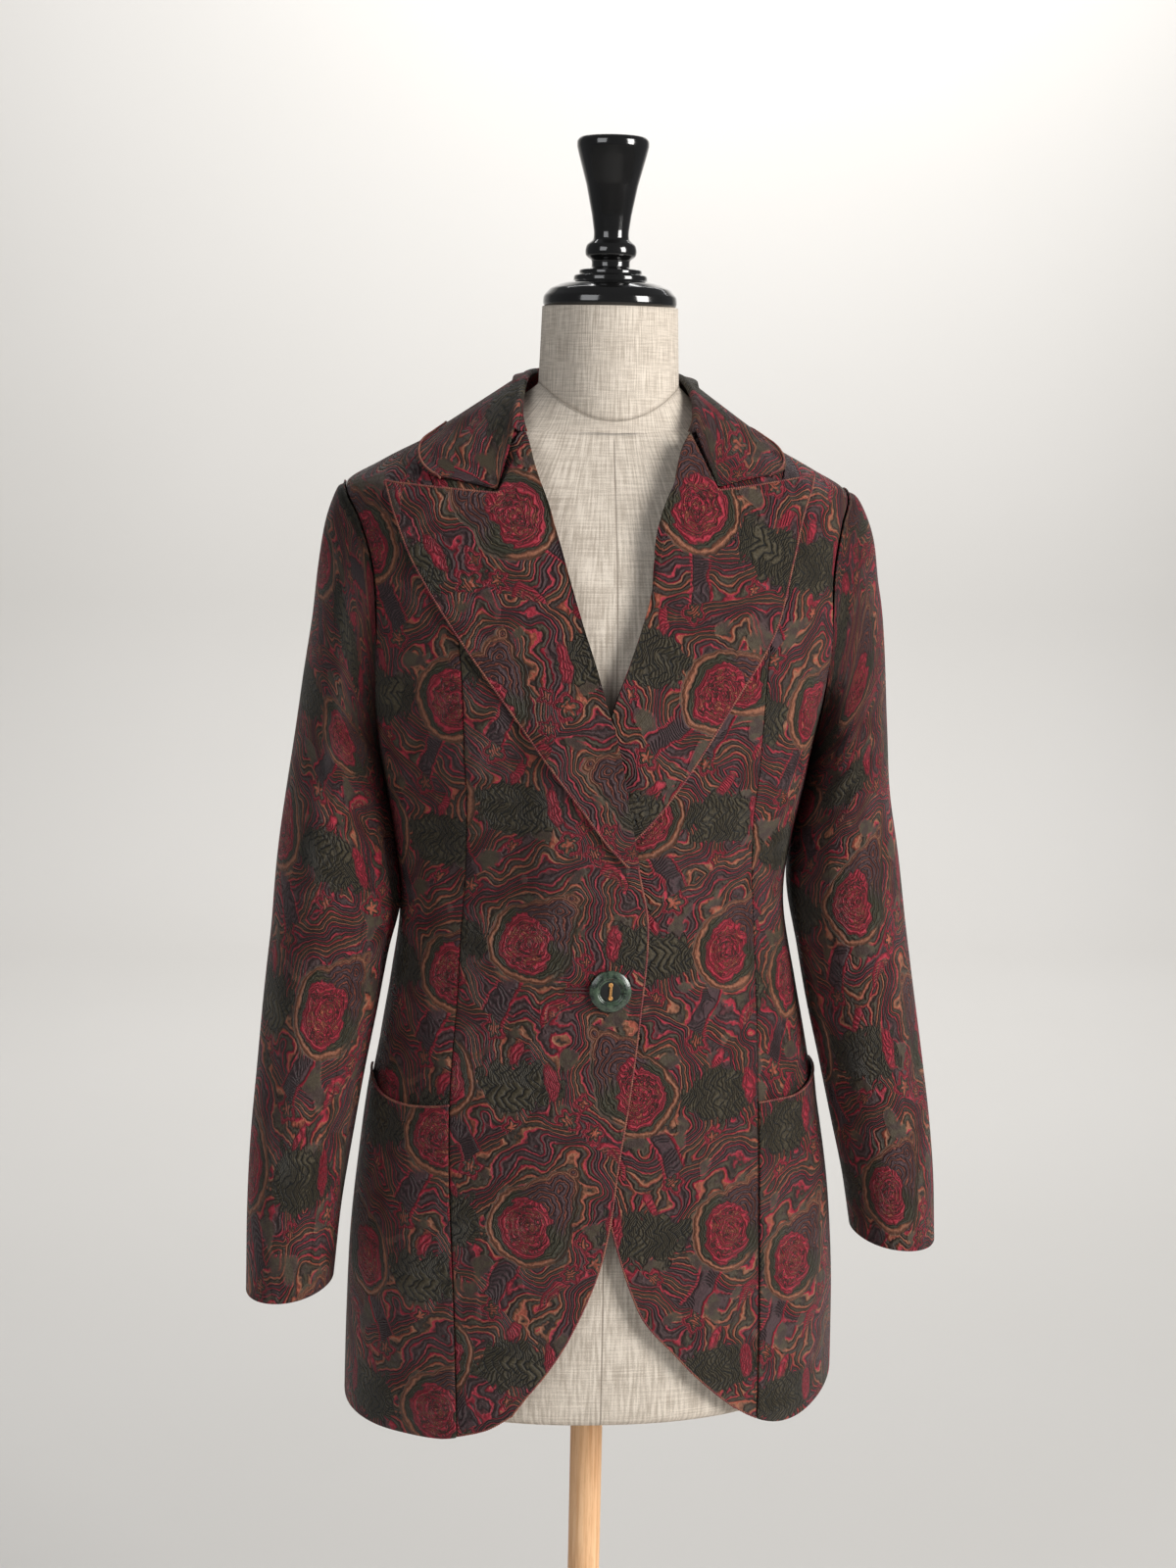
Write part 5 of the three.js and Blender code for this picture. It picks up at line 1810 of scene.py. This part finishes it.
T = NECK_TOP
cap = lathe("lacquer_cap", rounded([
    [0.01, T + SEAM],
    [48.5, T + SEAM],
    [49.5, T + 3],
    [49, T + 8],
    [44, T + 13.5],
    [36, T + 17],
    [27, T + 19],
    [27, T + 23],
    [23, T + 24],
    [23, T + 27],
    [14, T + 28.5],
    [14, T + 34],
    [18.5, T + 37],
    [19, T + 41],
    [18, T + 45],
    [13, T + 49],
    [12.8, T + 54],
    [14.5, T + 66],
    [19, T + 88],
    [24.6, T + 108],
    [26.4, T + 115],
    [26.3, T + 119],
    [24, T + 121.5],
    [0.01, T + 122],
], 1.6, 5), lacquer(), 128)
pole = lathe("wood_pole", rounded([
    [0.01, BASE_HEIGHT + SEAM],
    [POLE_RADIUS, BASE_HEIGHT + SEAM],
    [POLE_RADIUS, FORM_BOTTOM - SEAM],
    [0.01, FORM_BOTTOM - SEAM],
], 0.6), wood("pole_beech", False), 96)
base = lathe("wood_base", rounded([
    [0.01, 0],
    [BASE_RADIUS, 0],
    [BASE_RADIUS + 2, 6],
    [BASE_RADIUS + 1, 14],
    [BASE_RADIUS - 6, BASE_HEIGHT - 2],
    [BASE_RADIUS - 14, BASE_HEIGHT],
    [0.01, BASE_HEIGHT],
], 2.5), wood("base_beech", True), 160)


# Stage, lights and camera


def backdrop():
    """A pale floor that curves up into the wall behind."""
    wall_at, radius = 4.6, 0.8
    bend = [(-5.0, 0.0), (wall_at - radius, 0.0)]
    for a in np.linspace(0, math.pi / 2, 16)[1:]:
        bend.append((wall_at - radius + radius * math.sin(a), radius - radius * math.cos(a)))
    bend.append((wall_at, 4.6))
    points, faces = [], []
    for y, z in bend:
        points += [(-5000, y * 1000, z * 1000), (5000, y * 1000, z * 1000)]
    for k in range(len(bend) - 1):
        faces.append((2 * k, 2 * k + 1, 2 * k + 3, 2 * k + 2))
    return new_mesh("studio_backdrop", points, faces)


def wall_finish():
    w = Weaver("pale_wall")
    place = w.coords()
    soft = w.noise(place, 0.9, 2.0)
    fine = w.noise(place, 90.0, 2.0)
    return w.finish(
        w.mix(soft, paint(208, 206, 202), paint(214, 212, 209)), 0.95, w.bump(fine, 0.05, 0.0005)
    )


wall = backdrop()
wall.data.materials.append(wall_finish())


def lamp(name, where, aim, size, power, tint=(1.0, 1.0, 1.0)):
    light = bpy.data.lights.new(name, "AREA")
    light.shape = "RECTANGLE"
    light.size, light.size_y = size
    light.energy = power
    light.color = tint
    thing = bpy.data.objects.new(name, light)
    thing.location = where
    thing.rotation_euler = (Vector(aim) - Vector(where)).to_track_quat("-Z", "Y").to_euler()
    bpy.context.scene.collection.objects.link(thing)
    return thing


lamp("window", (2.25, -1.65, 1.95), (0.0, 0.0, 1.05), (1.1, 1.7), 104, (1.0, 0.985, 0.96))
lamp("front_fill", (-1.9, -2.2, 2.2), (0.0, 0.0, 1.05), (1.6, 1.6), 26, (0.97, 0.985, 1.0))
lamp("wall_wash", (0.6, 2.4, 3.6), (0.0, 4.4, 1.2), (3.6, 1.2), 130, (1.0, 0.99, 0.985))
world = bpy.data.worlds.new("studio")
world.use_nodes = True
world.node_tree.nodes["Background"].inputs[0].default_value = (0.90, 0.92, 0.95, 1)
world.node_tree.nodes["Background"].inputs[1].default_value = 0.15
bpy.context.scene.world = world
bpy.context.scene.view_settings.view_transform = "Standard"
bpy.context.scene.view_settings.look = "None"

# The camera: 1.73 m from the form, 10 degrees down, 4.5 degrees to the wearer's right
eye = np.array([-142.3, -1692.9, 1406.5])
level, down, roll = math.radians(-4.5), math.radians(10), math.radians(1.15)
ahead = np.array([-math.sin(level) * math.cos(down), math.cos(level) * math.cos(down), -math.sin(down)])
right = np.array([math.cos(level), math.sin(level), 0.0])
above = np.cross(right, ahead)
lens = bpy.data.cameras.new("camera")
lens.sensor_fit = "HORIZONTAL"
lens.sensor_width = 36
lens.lens = 69
camera = bpy.data.objects.new("camera", lens)
bpy.context.scene.collection.objects.link(camera)
side_way = right * math.cos(roll) + above * math.sin(roll)
up_way = above * math.cos(roll) - right * math.sin(roll)
frame_ = Matrix(np.column_stack([side_way, up_way, -ahead]).tolist()).to_4x4()
frame_.translation = Vector((eye * MM).tolist())
camera.matrix_world = frame_
bpy.context.scene.camera = camera


# Each piece hangs from the root, and the imported part it replaces is hidden

for piece, node in cloth:
    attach(piece, "root")
    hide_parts(node)
for piece, side in trims:
    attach(piece, "root")
for piece, node, slot_ in (
    (torso, "dress_form_torso", "linen"),
    (neck, "dress_form_neck", "linen"),
    (cap, "dress_form_cap", "lacquer"),
    (pole, "stand_pole", "wood"),
    (base, "stand_base", "wood"),
    (button, "button", "horn"),
):
    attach(piece, "root")
    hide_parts(node)
for piece in (recess, bar, *rims):
    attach(piece, "root")
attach(buttonhole, "root")
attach(neck_stitches, "root")

low, high = CAD_BOX
